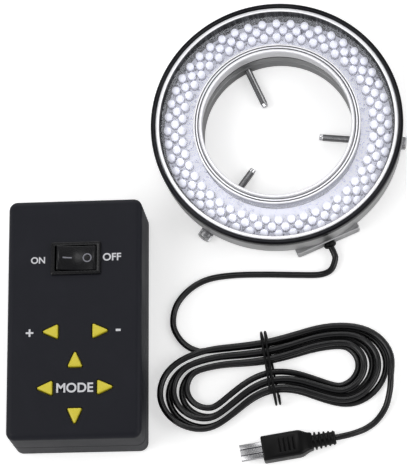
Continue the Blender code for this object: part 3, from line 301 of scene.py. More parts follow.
@dataclass(frozen=True)
class PaintedStreakWall(Finish):
    """Dark inner wall of the tray, with the lamps' reflections painted on as pale upright streaks."""

    dark: Corner
    pale: Corner
    streaks: float
    low: float
    high: float

    def surface(self, graph: Graph, spot: Sock) -> Sock:
        """Return painted reflections of the lamps as upright streaks that fade towards the top."""
        _, _, z = graph.split(spot)
        lamp_reflection = graph.ease(graph.noise(graph.around(spot) * self.streaks, 1.0, 3.0, 0.6), 0.42, 0.66)
        fade = graph.ease(z, self.low, self.high, 1.0, 0.35)
        return graph.principled(
            # painted reflection: pale streaks in the wall's colour stand in for the lamps reflected in it
            Base_Color=graph.mix(lamp_reflection * fade, self.dark, self.pale),
            Roughness=0.42 + lamp_reflection * 0.12,
            Metallic=0.10,
            Specular_IOR_Level=0.2,
        )


@dataclass(frozen=True)
class LitBoard(Finish):
    """Lamp board with the lamps' own light painted on: pale at its inner edge, darker between the lamps, and
    glowing faintly.
    """

    dark: Corner
    pale: Corner
    speck: Corner
    inner: float
    outer: float

    def surface(self, graph: Graph, spot: Sock) -> Sock:
        """Return a board with painted light and shade: paler towards the bore, darker between the lamps,
        glowing with its own tint, with dark specks.
        """
        x, y, _ = graph.split(spot)
        reach = (x * x + y * y) ** 0.5
        rays = graph.ease(graph.noise(graph.around(spot) * 52.0, 1.0, 2.0, 0.6), 0.36, 0.56, 0.40, 1.0)
        near = graph.ease(reach, self.inner, self.outer, 1.0, 0.0)
        grain = graph.noise(spot, 2400.0, 2.0)
        specks = graph.ease(graph.noise(spot, 640.0, 1.0), 0.58, 0.66)
        more_outside = graph.ease(reach, self.inner, self.outer, 0.3, 0.9)
        plain = graph.mix((near * rays + grain * 0.12).least(1.0), self.dark, self.pale)
        tint = graph.mix(specks * more_outside, plain, self.speck)
        return graph.principled(
            Base_Color=tint,
            Roughness=0.45,
            # painted light: the board glows with its own tint in place of the lamps' light falling on it
            Emission_Color=tint,
            Emission_Strength=0.36,
            Normal=graph.bump(grain, 0.3, 0.00001),
        )


@dataclass(frozen=True)
class PlainMetal(Finish):
    """Bright or plated metal with faint handling marks."""

    colour: Corner
    roughness: float
    marks: float = 0.06

    def surface(self, graph: Graph, spot: Sock) -> Sock:
        """Return a metal with uneven gloss."""
        smear = graph.noise(spot, 220.0, 5.0, 0.6)
        pits = graph.noise(spot, 2600.0, 2.0)
        dull = tuple(share * 0.82 for share in self.colour)
        return graph.principled(
            Base_Color=graph.mix(graph.ease(smear, 0.3, 0.75), dull, self.colour),
            Roughness=self.roughness + (smear - 0.5) * self.marks,
            Metallic=1.0,
            Normal=graph.bump(pits, 0.2, 0.000003),
        )


@dataclass(frozen=True)
class Moulded(Finish):
    """Moulded plastic or rubber with a fine spark-eroded grain and a little dust."""

    colour: Corner
    worn: Corner
    roughness: float
    grain_per_metre: float
    grain_depth: float
    gloss_spread: float = 0.12
    shine: float = 0.5

    def surface(self, graph: Graph, spot: Sock) -> Sock:
        """Return the plastic, a little paler where it has been rubbed."""
        cells = graph.grain(spot, self.grain_per_metre)
        cloud = graph.noise(spot, 70.0, 5.0, 0.6)
        specks = graph.ease(graph.noise(spot, 1500.0, 2.0), 0.68, 0.80)
        rubbed = graph.ease(cloud, 0.45, 0.85)
        return graph.principled(
            Base_Color=graph.mix((rubbed * 0.55 + specks * 0.25).least(1.0), self.colour, self.worn),
            Roughness=self.roughness + (cloud - 0.5) * self.gloss_spread + (cells - 0.4) * 0.05,
            Specular_IOR_Level=self.shine,
            Normal=graph.bump(cells, 0.5, self.grain_depth),
        )


@dataclass(frozen=True)
class LampPlastic(Finish):
    """Milky epoxy of the round lamps, with painted shade at the foot of each dome and a painted glow towards
    its top.
    """

    rim: Corner
    crown: Corner
    cloudy: Corner
    glow: Corner
    low: float
    high: float

    def surface(self, graph: Graph, spot: Sock) -> Sock:
        """Return a shader that is paler and glows more towards the top of a lamp, as painted light and shade.
        """
        _, _, z = graph.split(spot)
        height = graph.ease(z, self.low, self.high)
        cloud = graph.noise(spot, 900.0, 2.0)
        # painted shade: each dome runs from a dark foot to a pale top
        tint = graph.mix(height, self.rim, self.crown)
        return graph.principled(
            Base_Color=graph.mix(graph.ease(cloud, 0.3, 0.8) * 0.12, tint, self.cloudy),
            Roughness=0.16 + cloud * 0.10,
            Coat_Weight=0.6,
            Coat_Roughness=0.04,
            # painted light: the glow grows towards the top of each dome
            Emission_Color=graph.mix(height, (0.0, 0.0, 0.0), self.glow),
            Emission_Strength=0.34,
        )


@dataclass(frozen=True)
class ClearSheet(Finish):
    """Clear plastic that reflects, and has a faint haze with fine scratches."""

    haze: float = 0.022

    def surface(self, graph: Graph, spot: Sock) -> Sock:
        """Return a mix of see-through and gloss."""
        x, y, z = graph.split(spot)
        drawn_out = graph.join(x * 2400.0 + y * 900.0, y * 120.0 - x * 60.0, z * 100.0)
        scratches = graph.ease(graph.noise(drawn_out, 1.0, 3.0, 0.7), 0.62, 0.9)
        smudge = graph.ease(graph.noise(spot, 38.0, 4.0), 0.5, 0.85)
        gloss = graph.node("ShaderNodeBsdfGlossy", {"Color": (0.96, 0.97, 1.0), "Roughness": 0.15})
        veil = graph.node("ShaderNodeBsdfDiffuse", {"Color": (0.92, 0.93, 1.0)})
        clear = graph.node("ShaderNodeBsdfTransparent", {"Color": (0.97, 0.975, 0.99)})
        cloudy = graph.blend(smudge * self.haze * 2.4 + scratches * self.haze, clear, veil)
        edge_on = graph.node("ShaderNodeLayerWeight", {"Blend": 0.5}, out="Facing")
        return graph.blend(edge_on ** 5.0 * 0.96 + 0.04, cloudy, gloss)


@dataclass(frozen=True)
class Ink(Finish):
    """Screen print, slightly thin at its edges."""

    colour: Corner
    worn: Corner

    def surface(self, graph: Graph, spot: Sock) -> Sock:
        """Return the ink with small gaps."""
        thin = graph.ease(graph.noise(spot, 2600.0, 3.0), 0.60, 0.82)
        return graph.principled(
            Base_Color=graph.mix(thin * 0.35, self.colour, self.worn),
            Roughness=0.55 + thin * 0.2,
        )


@dataclass(frozen=True)
class CircuitBoard(Finish):
    """Lacquered board with tracks under the lacquer."""

    colour: Corner
    track: Corner

    def surface(self, graph: Graph, spot: Sock) -> Sock:
        """Return the lacquer with lines of track at two pitches."""
        x, y, _ = graph.split(spot)
        across = ((y * 250.0).fraction() < 0.14) * (graph.noise(spot, 90.0) > 0.5)
        lines = ((x * 420.0).fraction() < 0.22).most(across)
        shown = lines * graph.ease(graph.noise(spot, 140.0, 2.0), 0.42, 0.55)
        return graph.principled(
            Base_Color=graph.mix(shown * 0.8, self.colour, self.track),
            Roughness=0.38 - shown * 0.1,
            Normal=graph.bump(shown, 0.3, 0.00003),
        )


def grey(level: float, blue: float = 0.005) -> Corner:
    """Return a grey with a little more blue."""
    return level, level, level + blue


class Finishes:
    """Every finish that the pieces use."""

    satin = TurnedMetal("turned_satin", grey(0.58), grey(0.50), 0.36)
    # painted shade: a darker copy of the satin aluminium for the faces inside the bore
    bore = TurnedMetal("shaded_bore_aluminium", grey(0.38), grey(0.30), 0.36)
    milled = PlainMetal("milled_aluminium", grey(0.56), 0.38, 0.10)
    # partly painted highlight: the lip's bright metal is made near-white and hardly metallic
    bright = TurnedMetal("bright_lip", grey(0.92, 0.04), grey(0.84, 0.04), 0.14, depth=0.000001, metal=0.15)
    # painted shade: dark metal for the floors of the lip's grooves and the plug tip's seams
    groove = TurnedMetal("groove_shade", grey(0.10, 0.01), grey(0.06, 0.01), 0.30, depth=0.000001)
    # partly painted highlight: bright metal made near-white and mostly not metallic, on the outer neck and as
    # a highlight band inside the bore
    neck = TurnedMetal("bright_neck", grey(0.90, 0.03), grey(0.82, 0.03), 0.22, depth=0.000001, metal=0.25)
    # real black anodising on the hoop, and painted shade on the thin line round the bore
    anodised_and_line_shade = TurnedMetal("hoop_anodised_and_line_shade", grey(0.020, 0.002), grey(0.012, 0.002), 0.26)
    clear = ClearSheet("cover_acrylic")
    # painted light and shade: the lamps are dark at their foot and pale and glowing at their top
    lamp = LampPlastic(
        "lamp_epoxy", grey(0.30, 0.08), grey(0.93, 0.05), grey(0.78, 0.08), grey(0.9, 0.1), 0.0104, 0.0142)
    # painted reflections: the tray's inner wall carries pale streaks that stand in for the lamps' reflections
    wall = PaintedStreakWall("tray_wall", grey(0.016, 0.001), grey(0.27, 0.01), 44.0, 0.0100, 0.0170)
    # painted light: the board is paler at its inner edge and glows in place of the lamps' light on it
    white_board = LitBoard(
        "white_lamp_board", grey(0.60, 0.07), grey(0.76, 0.07), grey(0.10, 0.03), 0.0365, 0.0415)
    screw = PlainMetal("shaft_steel", grey(0.36), 0.22)
    screw_tip = PlainMetal("screw_tip", grey(0.86, 0.02), 0.16)
    knurl = PlainMetal("knurled_steel", grey(0.62, 0.01), 0.24)
    plated = PlainMetal("plated_tip", grey(0.52, 0.01), 0.24)
    gold = PlainMetal("gold_contacts", (0.86, 0.62, 0.24), 0.28)
    case = Moulded(
        "case_plastic", (0.0072, 0.0077, 0.0125), (0.0114, 0.0122, 0.018), 0.46, 2600.0, 0.00002, shine=0.20)
    switch = Moulded(
        "switch_plastic", grey(0.004, 0.001), grey(0.008, 0.001), 0.26, 3600.0, 0.000006, 0.06, 0.32)
    cord = Moulded(
        "cord_jacket", grey(0.003, 0.0005), grey(0.006, 0.0005), 0.24, 2400.0, 0.000010, 0.10, 0.42)
    moulding = Moulded(
        "plug_black", grey(0.0012, 0.0002), grey(0.003, 0.0004), 0.30, 2800.0, 0.000012, shine=0.20)
    yellow = Moulded("cap_plastic", (0.66, 0.56, 0.032), (0.73, 0.645, 0.07), 0.40, 2200.0, 0.000012)
    ink = Ink("white_ink", grey(0.62, 0.03), grey(0.30, 0.02))
    faint_ink = Ink("rocker_ink", grey(0.19, 0.03), grey(0.30, 0.02))
    board = CircuitBoard("green_board", (0.02, 0.16, 0.07), (0.05, 0.30, 0.14))


def shares(steps: int, end: int = 1) -> list[float]:
    """Return the shares of a way that its steps reach, with its end or, for 0, without it."""
    return [step / steps for step in range(steps + end)]


def fillet(corners: Sequence[Corner], steps: int = 4) -> list[Flat]:
    """Round the corners of a closed flat outline.

    Args:
        corners: the outline's corners, each with the radius it is rounded by, 0 for a sharp one.
        steps: points per rounded corner, less one.

    Returns:
        The rounded outline's points.
    """
    points: list[Flat] = []
    for index, (x, y, radius) in enumerate(corners):
        here = Vector((x, y))
        back = (Vector(corners[index - 1][:2]) - here).normalized()
        ahead = (Vector(corners[(index + 1) % len(corners)][:2]) - here).normalized()
        half = acos(max(-1.0, min(1.0, back.dot(ahead)))) / 2
        if radius <= 0 or half > radians(89):
            points.append((here.x, here.y))
            continue
        middle = here + (back + ahead).normalized() * (radius / sin(half))
        start = here + back * (radius / tan(half)) - middle
        finish = here + ahead * (radius / tan(half)) - middle
        for share in shares(steps):
            spot = middle + start.lerp(finish, share).normalized() * radius
            points.append((spot.x, spot.y))
    return points


def section(inner: float, outer: float, low: float, high: float, *radii: float) -> list[Corner]:
    """Return the corners of a ring's rectangular section, rounded by the radii."""
    corners = ((inner, low), (outer, low), (outer, high), (inner, high))
    return [(*corner, radius) for corner, radius in zip(corners, radii)]


def rounded(width: float, length: float, corner: float, steps: int = 8) -> list[Flat]:
    """Return a rectangle with round corners, about the middle."""
    corner = max(corner, 0.00005)
    points = []
    for quarter, (side_x, side_y) in enumerate(((1, 1), (-1, 1), (-1, -1), (1, -1))):
        for share in shares(steps):
            turn = (quarter + share) * pi / 2
            x = side_x * (width / 2 - corner) + corner * cos(turn)
            y = side_y * (length / 2 - corner) + corner * sin(turn)
            points.append((x, y))
    return points


def shift(x: float = 0.0, y: float = 0.0, z: float = 0.0) -> Matrix:
    """Return a frame moved from the origin."""
    return Matrix.Translation((x, y, z))


def spin(degrees: float, axis: str = "Z") -> Matrix:
    """Return a frame turned about an axis."""
    return Matrix.Rotation(radians(degrees), 4, axis)


def radial(angle: float, reach: float = 0.0) -> Matrix:
    """Return a frame whose Z runs outward from the ring's axis, at the height of the screws."""
    return shift(z=RADIAL_HEIGHT) @ spin(angle) @ spin(90, "Y") @ shift(z=reach)


class Shape:
    """A mesh in the making."""

    def __init__(self) -> None:
        """Start empty."""
        self.bm = bmesh.new()

    def skin(self, rings: Sequence[Sequence[Point]], around: bool = False) -> "Shape":
        """Join rings of points with faces.

        Args:
            rings: the rings, each with the same number of points.
            around: whether the last ring joins the first, in place of a cap at each end.

        Returns:
            The shape.
        """
        made = [[self.bm.verts.new(point) for point in ring] for ring in rings]
        pairs = list(zip(made, made[1:]))
        if around:
            pairs.append((made[-1], made[0]))
        else:
            self.bm.faces.new(made[0])
            self.bm.faces.new(made[-1])
        for lower, upper in pairs:
            for index in range(len(lower)):
                after = (index + 1) % len(lower)
                self.bm.faces.new((lower[index], lower[after], upper[after], upper[index]))
        return self

    def turned(self, profile: Sequence[Flat], segments: int, closed: bool = False,
               at: Matrix | None = None, tooth: Callable[[int, int], float] | None = None) -> "Shape":
        """Spin a profile of (radius, height) about Z.

        Args:
            profile: the profile's points.
            segments: steps round the axis.
            closed: whether the profile closes on itself, as for a ring.
            at: where the turned form goes.
            tooth: how far each point of each step is drawn in.

        Returns:
            The shape.
        """
        at = at or Matrix()
        rings = []
        for place, (radius, height) in enumerate(profile):
            ring = []
            for step in range(segments):
                turn = 2 * pi * step / segments
                reach = radius - (tooth(place, step) if tooth else 0.0)
                ring.append(at @ Vector((reach * cos(turn), reach * sin(turn), height)))
            rings.append(ring)
        return self.skin(rings, around=closed)

    def stack(self, flats: Iterable[tuple[Sequence[Flat], float]], at: Matrix | None = None) -> "Shape":
        """Join flat outlines that lie at several heights.

        Args:
            flats: each outline with its height.
            at: where the stack goes.

        Returns:
            The shape.
        """
        at = at or Matrix()
        return self.skin([[at @ Vector((x, y, height)) for x, y in flat] for flat, height in flats])

    def bars(self, sizes: Iterable[Sequence[float]], steps: int = 8, at: Matrix | None = None) -> "Shape":
        """Join rectangles with round corners that lie at several heights.

        Args:
            sizes: the width, length, corner and height of each.
            steps: points per corner, less one.
            at: where the stack goes.

        Returns:
            The shape.
        """
        return self.stack(((rounded(*size, steps), height) for *size, height in sizes), at)

    def block(self, low: Point, high: Point) -> "Shape":
        """Add a box between two corners."""
        flat = [(low[0], low[1]), (high[0], low[1]), (high[0], high[1]), (low[0], high[1])]
        return self.stack(((flat, low[2]), (flat, high[2])))

    def mesh(self, name: str, smooth: float) -> bpy.types.Mesh:
        """Return the finished mesh, smooth but for edges sharper than an angle in degrees."""
        bmesh.ops.recalc_face_normals(self.bm, faces=self.bm.faces)
        mesh = bpy.data.meshes.new(name)
        self.bm.to_mesh(mesh)
        self.bm.free()
        mesh.shade_smooth()
        mesh.set_sharp_from_angle(angle=radians(smooth))
        return mesh


def placed(name: str, data: bpy.types.ID, at: Matrix | None = None) -> bpy.types.Object:
    """Return a new object in the scene."""
    item = bpy.data.objects.new(name, data)
    bpy.context.scene.collection.objects.link(item)
    item.matrix_world = at or Matrix()
    return item


def solved(item: bpy.types.Object) -> bpy.types.Mesh:
    """Return an object's mesh with its modifiers applied."""
    bpy.context.view_layer.update()
    return bpy.data.meshes.new_from_object(item.evaluated_get(bpy.context.evaluated_depsgraph_get()))


def tube(name: str, points: Sequence[Vector], radius: float, resolution: int) -> bpy.types.Curve:
    """Return a round tube along a line.

    Args:
        name: the curve's name.
        points: the places along the line.
        radius: half the tube's thickness.
        resolution: how finely its section is rounded.

    Returns:
        The curve.
    """
    curve = bpy.data.curves.new(name, "CURVE")
    curve.dimensions = "3D"
    curve.bevel_depth = radius
    curve.bevel_resolution = resolution
    curve.use_fill_caps = True
    spline = curve.splines.new("POLY")
    spline.points.add(len(points) - 1)
    for knot, point in zip(spline.points, points):
        knot.co = (*point, 1)
    spline.use_smooth = True
    return curve


def smooth_line(points: Sequence[Vector], parts: int) -> list[Vector]:
    """Return a smooth curve through the points, with so many parts between two of them."""
    knots = [2 * points[0] - points[1], *points, 2 * points[-1] - points[-2]]
    fine: list[Vector] = []
    for before, start, end, after in zip(knots, knots[1:], knots[2:], knots[3:]):
        for t in shares(parts, 0):
            fine.append(
                0.5 * (2 * start + (end - before) * t
                       + (2 * before - 5 * start + 4 * end - after) * t * t
                       + (3 * start - before - 3 * end + after) * t * t * t)
            )
    fine.append(points[-1].copy())
    return fine


@dataclass
class Assembly(ABC):
    """A group of pieces that belong together."""

    made: list[str] = field(default_factory=list)
    at: Matrix = field(default_factory=Matrix)

    @abstractmethod
    def build(self) -> None:
        """Make and dress every piece of the group."""

    def keep(self, name: str, form: Shape | bpy.types.Mesh | bpy.types.Curve, slot: str,
             finish: Finish | Sequence[Finish], *replaces: str, body: str = ROOT, at: Matrix | None = None,
             smooth: float = 32.0, paint: Paint | None = None) -> bpy.types.Object:
        """Add a piece to the scene.

        Args:
            name: the piece's name.
            form: its shape, mesh or curve.
            slot: the record's material slot that it goes with; not used.
            finish: its finish, or several in the order of the faces' numbers.
            *replaces: the solids that it stands for.
            body: the moving body that carries it.
            at: where it goes in the group's frame.
            smooth: the angle in degrees above which an edge of a shape is sharp.
            paint: gives a face's number from its middle and that middle's distance from Z.

        Returns:
            The object.
        """
        data = form.mesh(name, smooth) if isinstance(form, Shape) else form
        if paint:
            for face in data.polygons:
                face.material_index = paint(face.center, hypot(face.center.x, face.center.y))
        item = placed(name, data, self.at @ (at or Matrix()))
        for one in ([finish] if isinstance(finish, Finish) else finish):
            data.materials.append(one.material())
        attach(item, body)
        if replaces:
            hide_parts(*replaces)
        self.made.append(name)
        LOG.info("%s rides on %s for %s", name, body, ", ".join(replaces) or "no solid of its own")
        return item

    def dress(self, node: str, finish: Finish) -> None:
        """Give a solid of the frame its own finish."""
        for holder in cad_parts[node].material_slots:
            holder.material = finish.material()
        LOG.info("%s keeps its solid", node)

    def trim(self, item: bpy.types.Object, *shapes: Shape, smooth: float = 30.0, union: bool = False) -> None:
        """Cut an object with shapes in the group's frame, or join them to it."""
        tools = [placed("tool", shape.mesh("tool", smooth), self.at) for shape in shapes]
        for tool in tools:
            modifier = item.modifiers.new("trim", "BOOLEAN")
            modifier.operation = "UNION" if union else "DIFFERENCE"
            modifier.solver = "EXACT"
            modifier.object = tool
        mesh, old = solved(item), item.data
        item.modifiers.clear()
        item.data = mesh
        mesh.name = old.name
        bpy.data.meshes.remove(old)
        for tool in tools:
            bpy.data.objects.remove(tool, do_unlink=True)
        mesh.shade_smooth()
        mesh.set_sharp_from_angle(angle=radians(smooth))


@dataclass
class RingHead(Assembly):
    """The turned ring with its lamps, cover, lip, hoop and clamp collar."""

    bore: float = 0.0315
    mouth: float = 0.0489
    neck: float = 0.0505
    wall: float = 0.0520
    hoop: float = 0.0525
    hoop_top: float = 0.0200
    foot: float = 0.0065
    floor_top: float = 0.0083
    shoulder: float = 0.0164
    neck_top: float = 0.0196
    seat: float = 0.0154
    outer_seat: float = 0.0009
    inner_seat: float = 0.0028
    inner_wall: float = 0.0016
    inner_top: float = 0.0174
    line: float = 0.0122
    line_width: float = 0.0010
    line_depth: float = 0.0002
    cover_thickness: float = 0.0020
    lip_inner: float = 0.0311
    lip_outer: float = 0.0350
    lip_low: float = 0.0180
    lip_top: float = 0.0188
    lip_steps: tuple[Flat, ...] = (
        (0.0342, 0.0), (0.0341, -0.0003), (0.0338, -0.0003), (0.0337, 0.0),
        (0.0331, 0.0), (0.0330, -0.0003), (0.0327, -0.0003), (0.0325, 0.0003),
    )
    lip_rise: float = 0.0007
    collar: float = 0.0410
    screw_hole: float = 0.00175
    lamp_rows: tuple[float, ...] = (0.0461, 0.0431, 0.0401)
    lamps_per_row: int = 48
    lamp_radius: float = 0.00168
    lamp_flange: float = 0.00015
    barrel_top: float = 0.0132
    crown: float = 0.0148
    dome_steps: int = 7
    board_top: float = 0.0102
    segments: int = 192

    def ring(self, name: str, corners: Sequence[Corner], slot: str, finish: Finish | Sequence[Finish],
             node: str, paint: Paint | None = None) -> bpy.types.Object:
        """Keep a turned ring.

        Args:
            name: the piece's name.
            corners: its section's corners, each with the radius it is rounded by.
            slot: the record's material slot.
            finish: its finish, or several.
            node: the solid that it stands for.
            paint: gives a face's number from its middle and that middle's distance from the axis.

        Returns:
            The object.
        """
        shape = Shape().turned(fillet(corners), self.segments, closed=True)
        return self.keep(name, shape, slot, finish, node, smooth=28.0, paint=paint)

    def build(self) -> None:
        """Make every piece of the ring head."""
        self.build_tray()
        inner, low = self.neck + GAP, self.shoulder + GAP
        hoop = section(inner, self.hoop, low, self.hoop_top, 0.0001, 0.0003, 0.0006, 0.0002)
        self.ring("black_hoop", hoop, "black_anodised", Finishes.anodised_and_line_shade, "bezel_hoop")
        self.build_lamps()
        inner, outer = self.bore + self.inner_wall + GAP, self.mouth - GAP
        low, high = self.seat + GAP, self.seat + GAP + self.cover_thickness
        cover = section(inner, outer, low, high, 0.0001, 0.0001, 0.0003, 0.0003)
        self.ring("clear_ring", cover, "clear_cover", Finishes.clear, "lamp_cover")
        self.build_lip()
        self.build_collar()

    def build_tray(self) -> None:
        """Make the turned tray, with its bright neck, a band of painted highlight inside its bore and a thin
        groove painted black as shade.
        """
        bore, mouth, line, line_low = self.bore, self.mouth, self.line, self.line - self.line_width
        sunk, outer = bore + self.line_depth, mouth - self.outer_seat
        inner, rim = bore + self.inner_seat, bore + self.inner_wall
        corners = (
            (bore, self.foot, 0.0004), (self.wall, self.foot, 0.0008), (self.wall, self.shoulder, 0.0002),
            (self.neck, self.shoulder, 0.0001), (self.neck, self.neck_top, 0.0003),
            (mouth, self.neck_top, 0.0003), (mouth, self.seat, 0.0001), (outer, self.seat, 0.0001),
            (outer, self.floor_top, 0.0003), (inner, self.floor_top, 0.0003), (inner, self.seat, 0.0001),
            (rim, self.seat, 0.0001), (rim, self.inner_top, 0.0002), (bore, self.inner_top, 0.0002),
            (bore, line, 0.00005), (sunk, line, 0.00005), (sunk, line_low, 0.00005),
            (bore, line_low, 0.00005),
        )

        def paint(spot: Vector, reach: float) -> int:
            """Return which of the tray's finishes a face has, painted highlight, shade and reflections among
            them.
            """
            # the outer neck is bright metal, partly painted highlight
            if reach > mouth + 0.0001 and spot.z > self.shoulder + 0.0020:
                return 1
            # inside the bore: a painted highlight band at the top, a thin groove painted black as shade, and
            # the darker bore finish as painted shade below
            if reach < bore + 0.0006:
                return 4 if line_low < spot.z < line else 1 if spot.z > line - 0.0001 else 2
            # the inner wall under the mouth takes the painted lamp reflections
            return 3 if mouth - 0.0012 < reach < mouth + 0.0002 and spot.z > self.floor_top else 0

        finishes = [Finishes.satin, Finishes.neck, Finishes.bore, Finishes.wall, Finishes.anodised_and_line_shade]
        self.ring("ring_tray", corners, "satin_aluminium", finishes, "ring_housing", paint)

    def build_lamps(self) -> None:
        """Make the lamp board and its three staggered rows of round lamps."""
        inner, outer = self.bore + self.inner_seat + GAP, self.mouth - self.outer_seat - GAP
        board = section(inner, outer, self.floor_top + GAP, self.board_top, *[0.0001] * 4)
        self.ring("lamp_board_ring", board, "lamp_white", Finishes.white_board, "lamp_board")
        rim, flange = self.lamp_radius, self.lamp_radius + self.lamp_flange
        lamp = [(flange, self.board_top), (flange, self.board_top + 0.0006), (rim, self.board_top + 0.0007)]
        for share in shares(self.dome_steps, 0):
            turn = share * pi / 2
            lamp.append((rim * cos(turn), self.barrel_top + (self.crown - self.barrel_top) * sin(turn)))
        lamp.append((0.00008, self.crown))
        shape = Shape()
        for row, reach in enumerate(self.lamp_rows):
            for step in range(self.lamps_per_row):
                turn = 2 * pi * (step + row / 2) / self.lamps_per_row
                shape.turned(lamp, 14, at=shift(reach * cos(turn), reach * sin(turn)))
        self.keep("lamp_rows", shape, "lamp_white", Finishes.lamp, smooth=40.0)

    def build_lip(self) -> None:
        """Make the stepped bright lip of the bore, partly painted highlight, with painted shade in its
        grooves.
        """
        low, rim, top = self.inner_top + GAP, self.bore + self.inner_wall, self.lip_top
        crest = top + self.lip_rise
        corners = [
            (self.lip_inner, low, 0.0003), (rim, low, 0.0001), (rim, self.lip_low, 0.0001),
            (self.lip_outer, self.lip_low, 0.0002), (self.lip_outer, top, 0.0003),
            *((reach, top + rise, 0.00008) for reach, rise in self.lip_steps),
            (self.lip_inner + 0.0011, crest, 0.0002), (self.lip_inner, crest, 0.0004),
        ]

        def paint(spot: Vector, reach: float) -> int:
            """Return whether a face is in a groove, which is painted dark as shade."""
            return int(0.0326 < reach < 0.0343 and self.lip_low + 0.0003 < spot.z < top - 0.0001)

        finishes = [Finishes.bright, Finishes.groove]
        self.ring("bright_lip", corners, "polished_metal", finishes, "bore_lip", paint)

    def build_collar(self) -> None:
        """Make the clamp collar with its three screw holes."""
        corners = section(self.bore, self.collar, 0.0, self.foot - GAP, 0.0004, 0.0004, 0.0003, 0.0003)
        # painted shade: the collar's faces inside the bore take the darker copy of the satin aluminium
        item = self.ring("screw_collar", corners, "satin_aluminium", [Finishes.satin, Finishes.bore],
                         "clamp_collar", lambda spot, reach: int(reach < self.bore + 0.0006))
        hole = [(self.screw_hole, self.bore - 0.002), (self.screw_hole, self.collar + 0.002)]
        holes = [Shape().turned(hole, 32, at=radial(angle)) for angle in SCREW_ANGLES]
        self.trim(item, *holes, smooth=28.0)


@dataclass
class Thumbscrews(Assembly):
    """The three long screws that grip the objective."""

    tips: tuple[float, ...] = (0.0135, 0.0185, 0.0170)
    shaft: float = 0.0015
    length: float = 0.0365
    head: float = 0.0060
    head_radius: float = 0.0028
    chamfer: float = 0.0026
    pitch: float = 0.0005
    thread: float = 0.00013
    point: float = 0.0015
    teeth: int = 36
    tooth: float = 0.0003

    def build(self) -> None:
        """Make each screw and place it on its own body."""
        neck = self.length - self.head

        def paint(spot: Vector, reach: float) -> int:
            """Return whether a face is on the shaft, the tip or the head."""
            return 1 if spot.z < self.point else 2 if spot.z > neck - 0.0001 else 0

        finishes = [Finishes.screw, Finishes.screw_tip, Finishes.knurl]
        for number, (angle, tip) in enumerate(zip(SCREW_ANGLES, self.tips), start=1):
            node = f"thumbscrew_{number}"
            self.keep(f"clamp_screw_{number}", self.screw(neck), "screw_steel", finishes, node, body=node,
                      at=radial(angle, tip), smooth=25.0, paint=paint)

    def screw(self, neck: float) -> Shape:
        """Return the screw, from its tip at the origin up along Z, with its head from the neck on."""
        profile = [(self.shaft - 0.0005, 0.0), (self.shaft - 0.0002, 0.0002), (self.shaft - 0.00015, 0.0014)]
        height, root = self.point, self.shaft - self.thread
        while height < neck - 0.0010:
            profile += [(root, height), (self.shaft, height + self.pitch / 2)]
            height += self.pitch
        profile += [(root, neck - 0.0006), (root, neck), (0.0021, neck), (self.chamfer, neck + 0.0004)]
        toothed = (len(profile), len(profile) + 1)
        profile += [(self.head_radius, neck + 0.0007), (self.head_radius, self.length - 0.0007)]
        profile += [(self.chamfer, self.length - 0.0003), (0.0022, self.length)]
        profile += [(0.0010, self.length), (0.0008, self.length - 0.0003)]

        def tooth(place: int, step: int) -> float:
            """Return how far a knurl's valley lies in."""
            return self.tooth if place in toothed and step % 2 else 0.0

        return Shape().turned(profile, 2 * self.teeth, tooth=tooth)


@dataclass
class CableExit(Assembly):
    """The flat-faced block under the tray and the grommet in it."""

    width: float = 0.028
    face: float = 0.0522
    low: float = 0.0003
    high: float = 0.0062
    corner: float = 0.0009
    clearance: float = 0.0413
    behind: float = 0.0075
    hole: float = 0.0024
    grommet: tuple[Flat, ...] = (
        (0.0020, -0.0040), (0.0021, -0.0035), (0.0021, 0.0003), (0.0025, 0.0003), (0.00262, 0.0005),
        (0.00262, 0.0009), (0.0025, 0.0013), (0.0021, 0.0017), (0.00175, 0.0018),
    )

    def build(self) -> None:
        """Make the block and the grommet."""
        inner = self.clearance - self.behind
        levels = (
            (-0.0008, self.low), (-0.0003, self.low + 0.0001), (0.0, self.low + 0.0008),
            (0.0, self.high - 0.0003), (-0.0003, self.high),
        )
        block = Shape().bars((
            (self.face - inner + 2 * grow, self.width + 2 * grow, self.corner + grow / 2, height)
            for grow, height in levels
        ), 5, shift((inner + self.face) / 2))
        item = self.keep("cord_block", block, "satin_aluminium", Finishes.milled, "cable_block",
                         at=spin(EXIT_ANGLE), smooth=30.0)
        round_collar = Shape().turned([(self.clearance, -0.002), (self.clearance, 0.010)], 144)
        bore = [(self.hole, self.face - 0.0043), (self.hole, self.face + 0.002)]
        self.trim(item, round_collar, Shape().turned(bore, 32, at=radial(EXIT_ANGLE)), smooth=28.0)
        grommet = Shape().turned(self.grommet, 32, at=radial(EXIT_ANGLE, self.face))
        self.keep("cord_boot", grommet, "cord_black", Finishes.moulding, "cord_grommet", smooth=35.0)


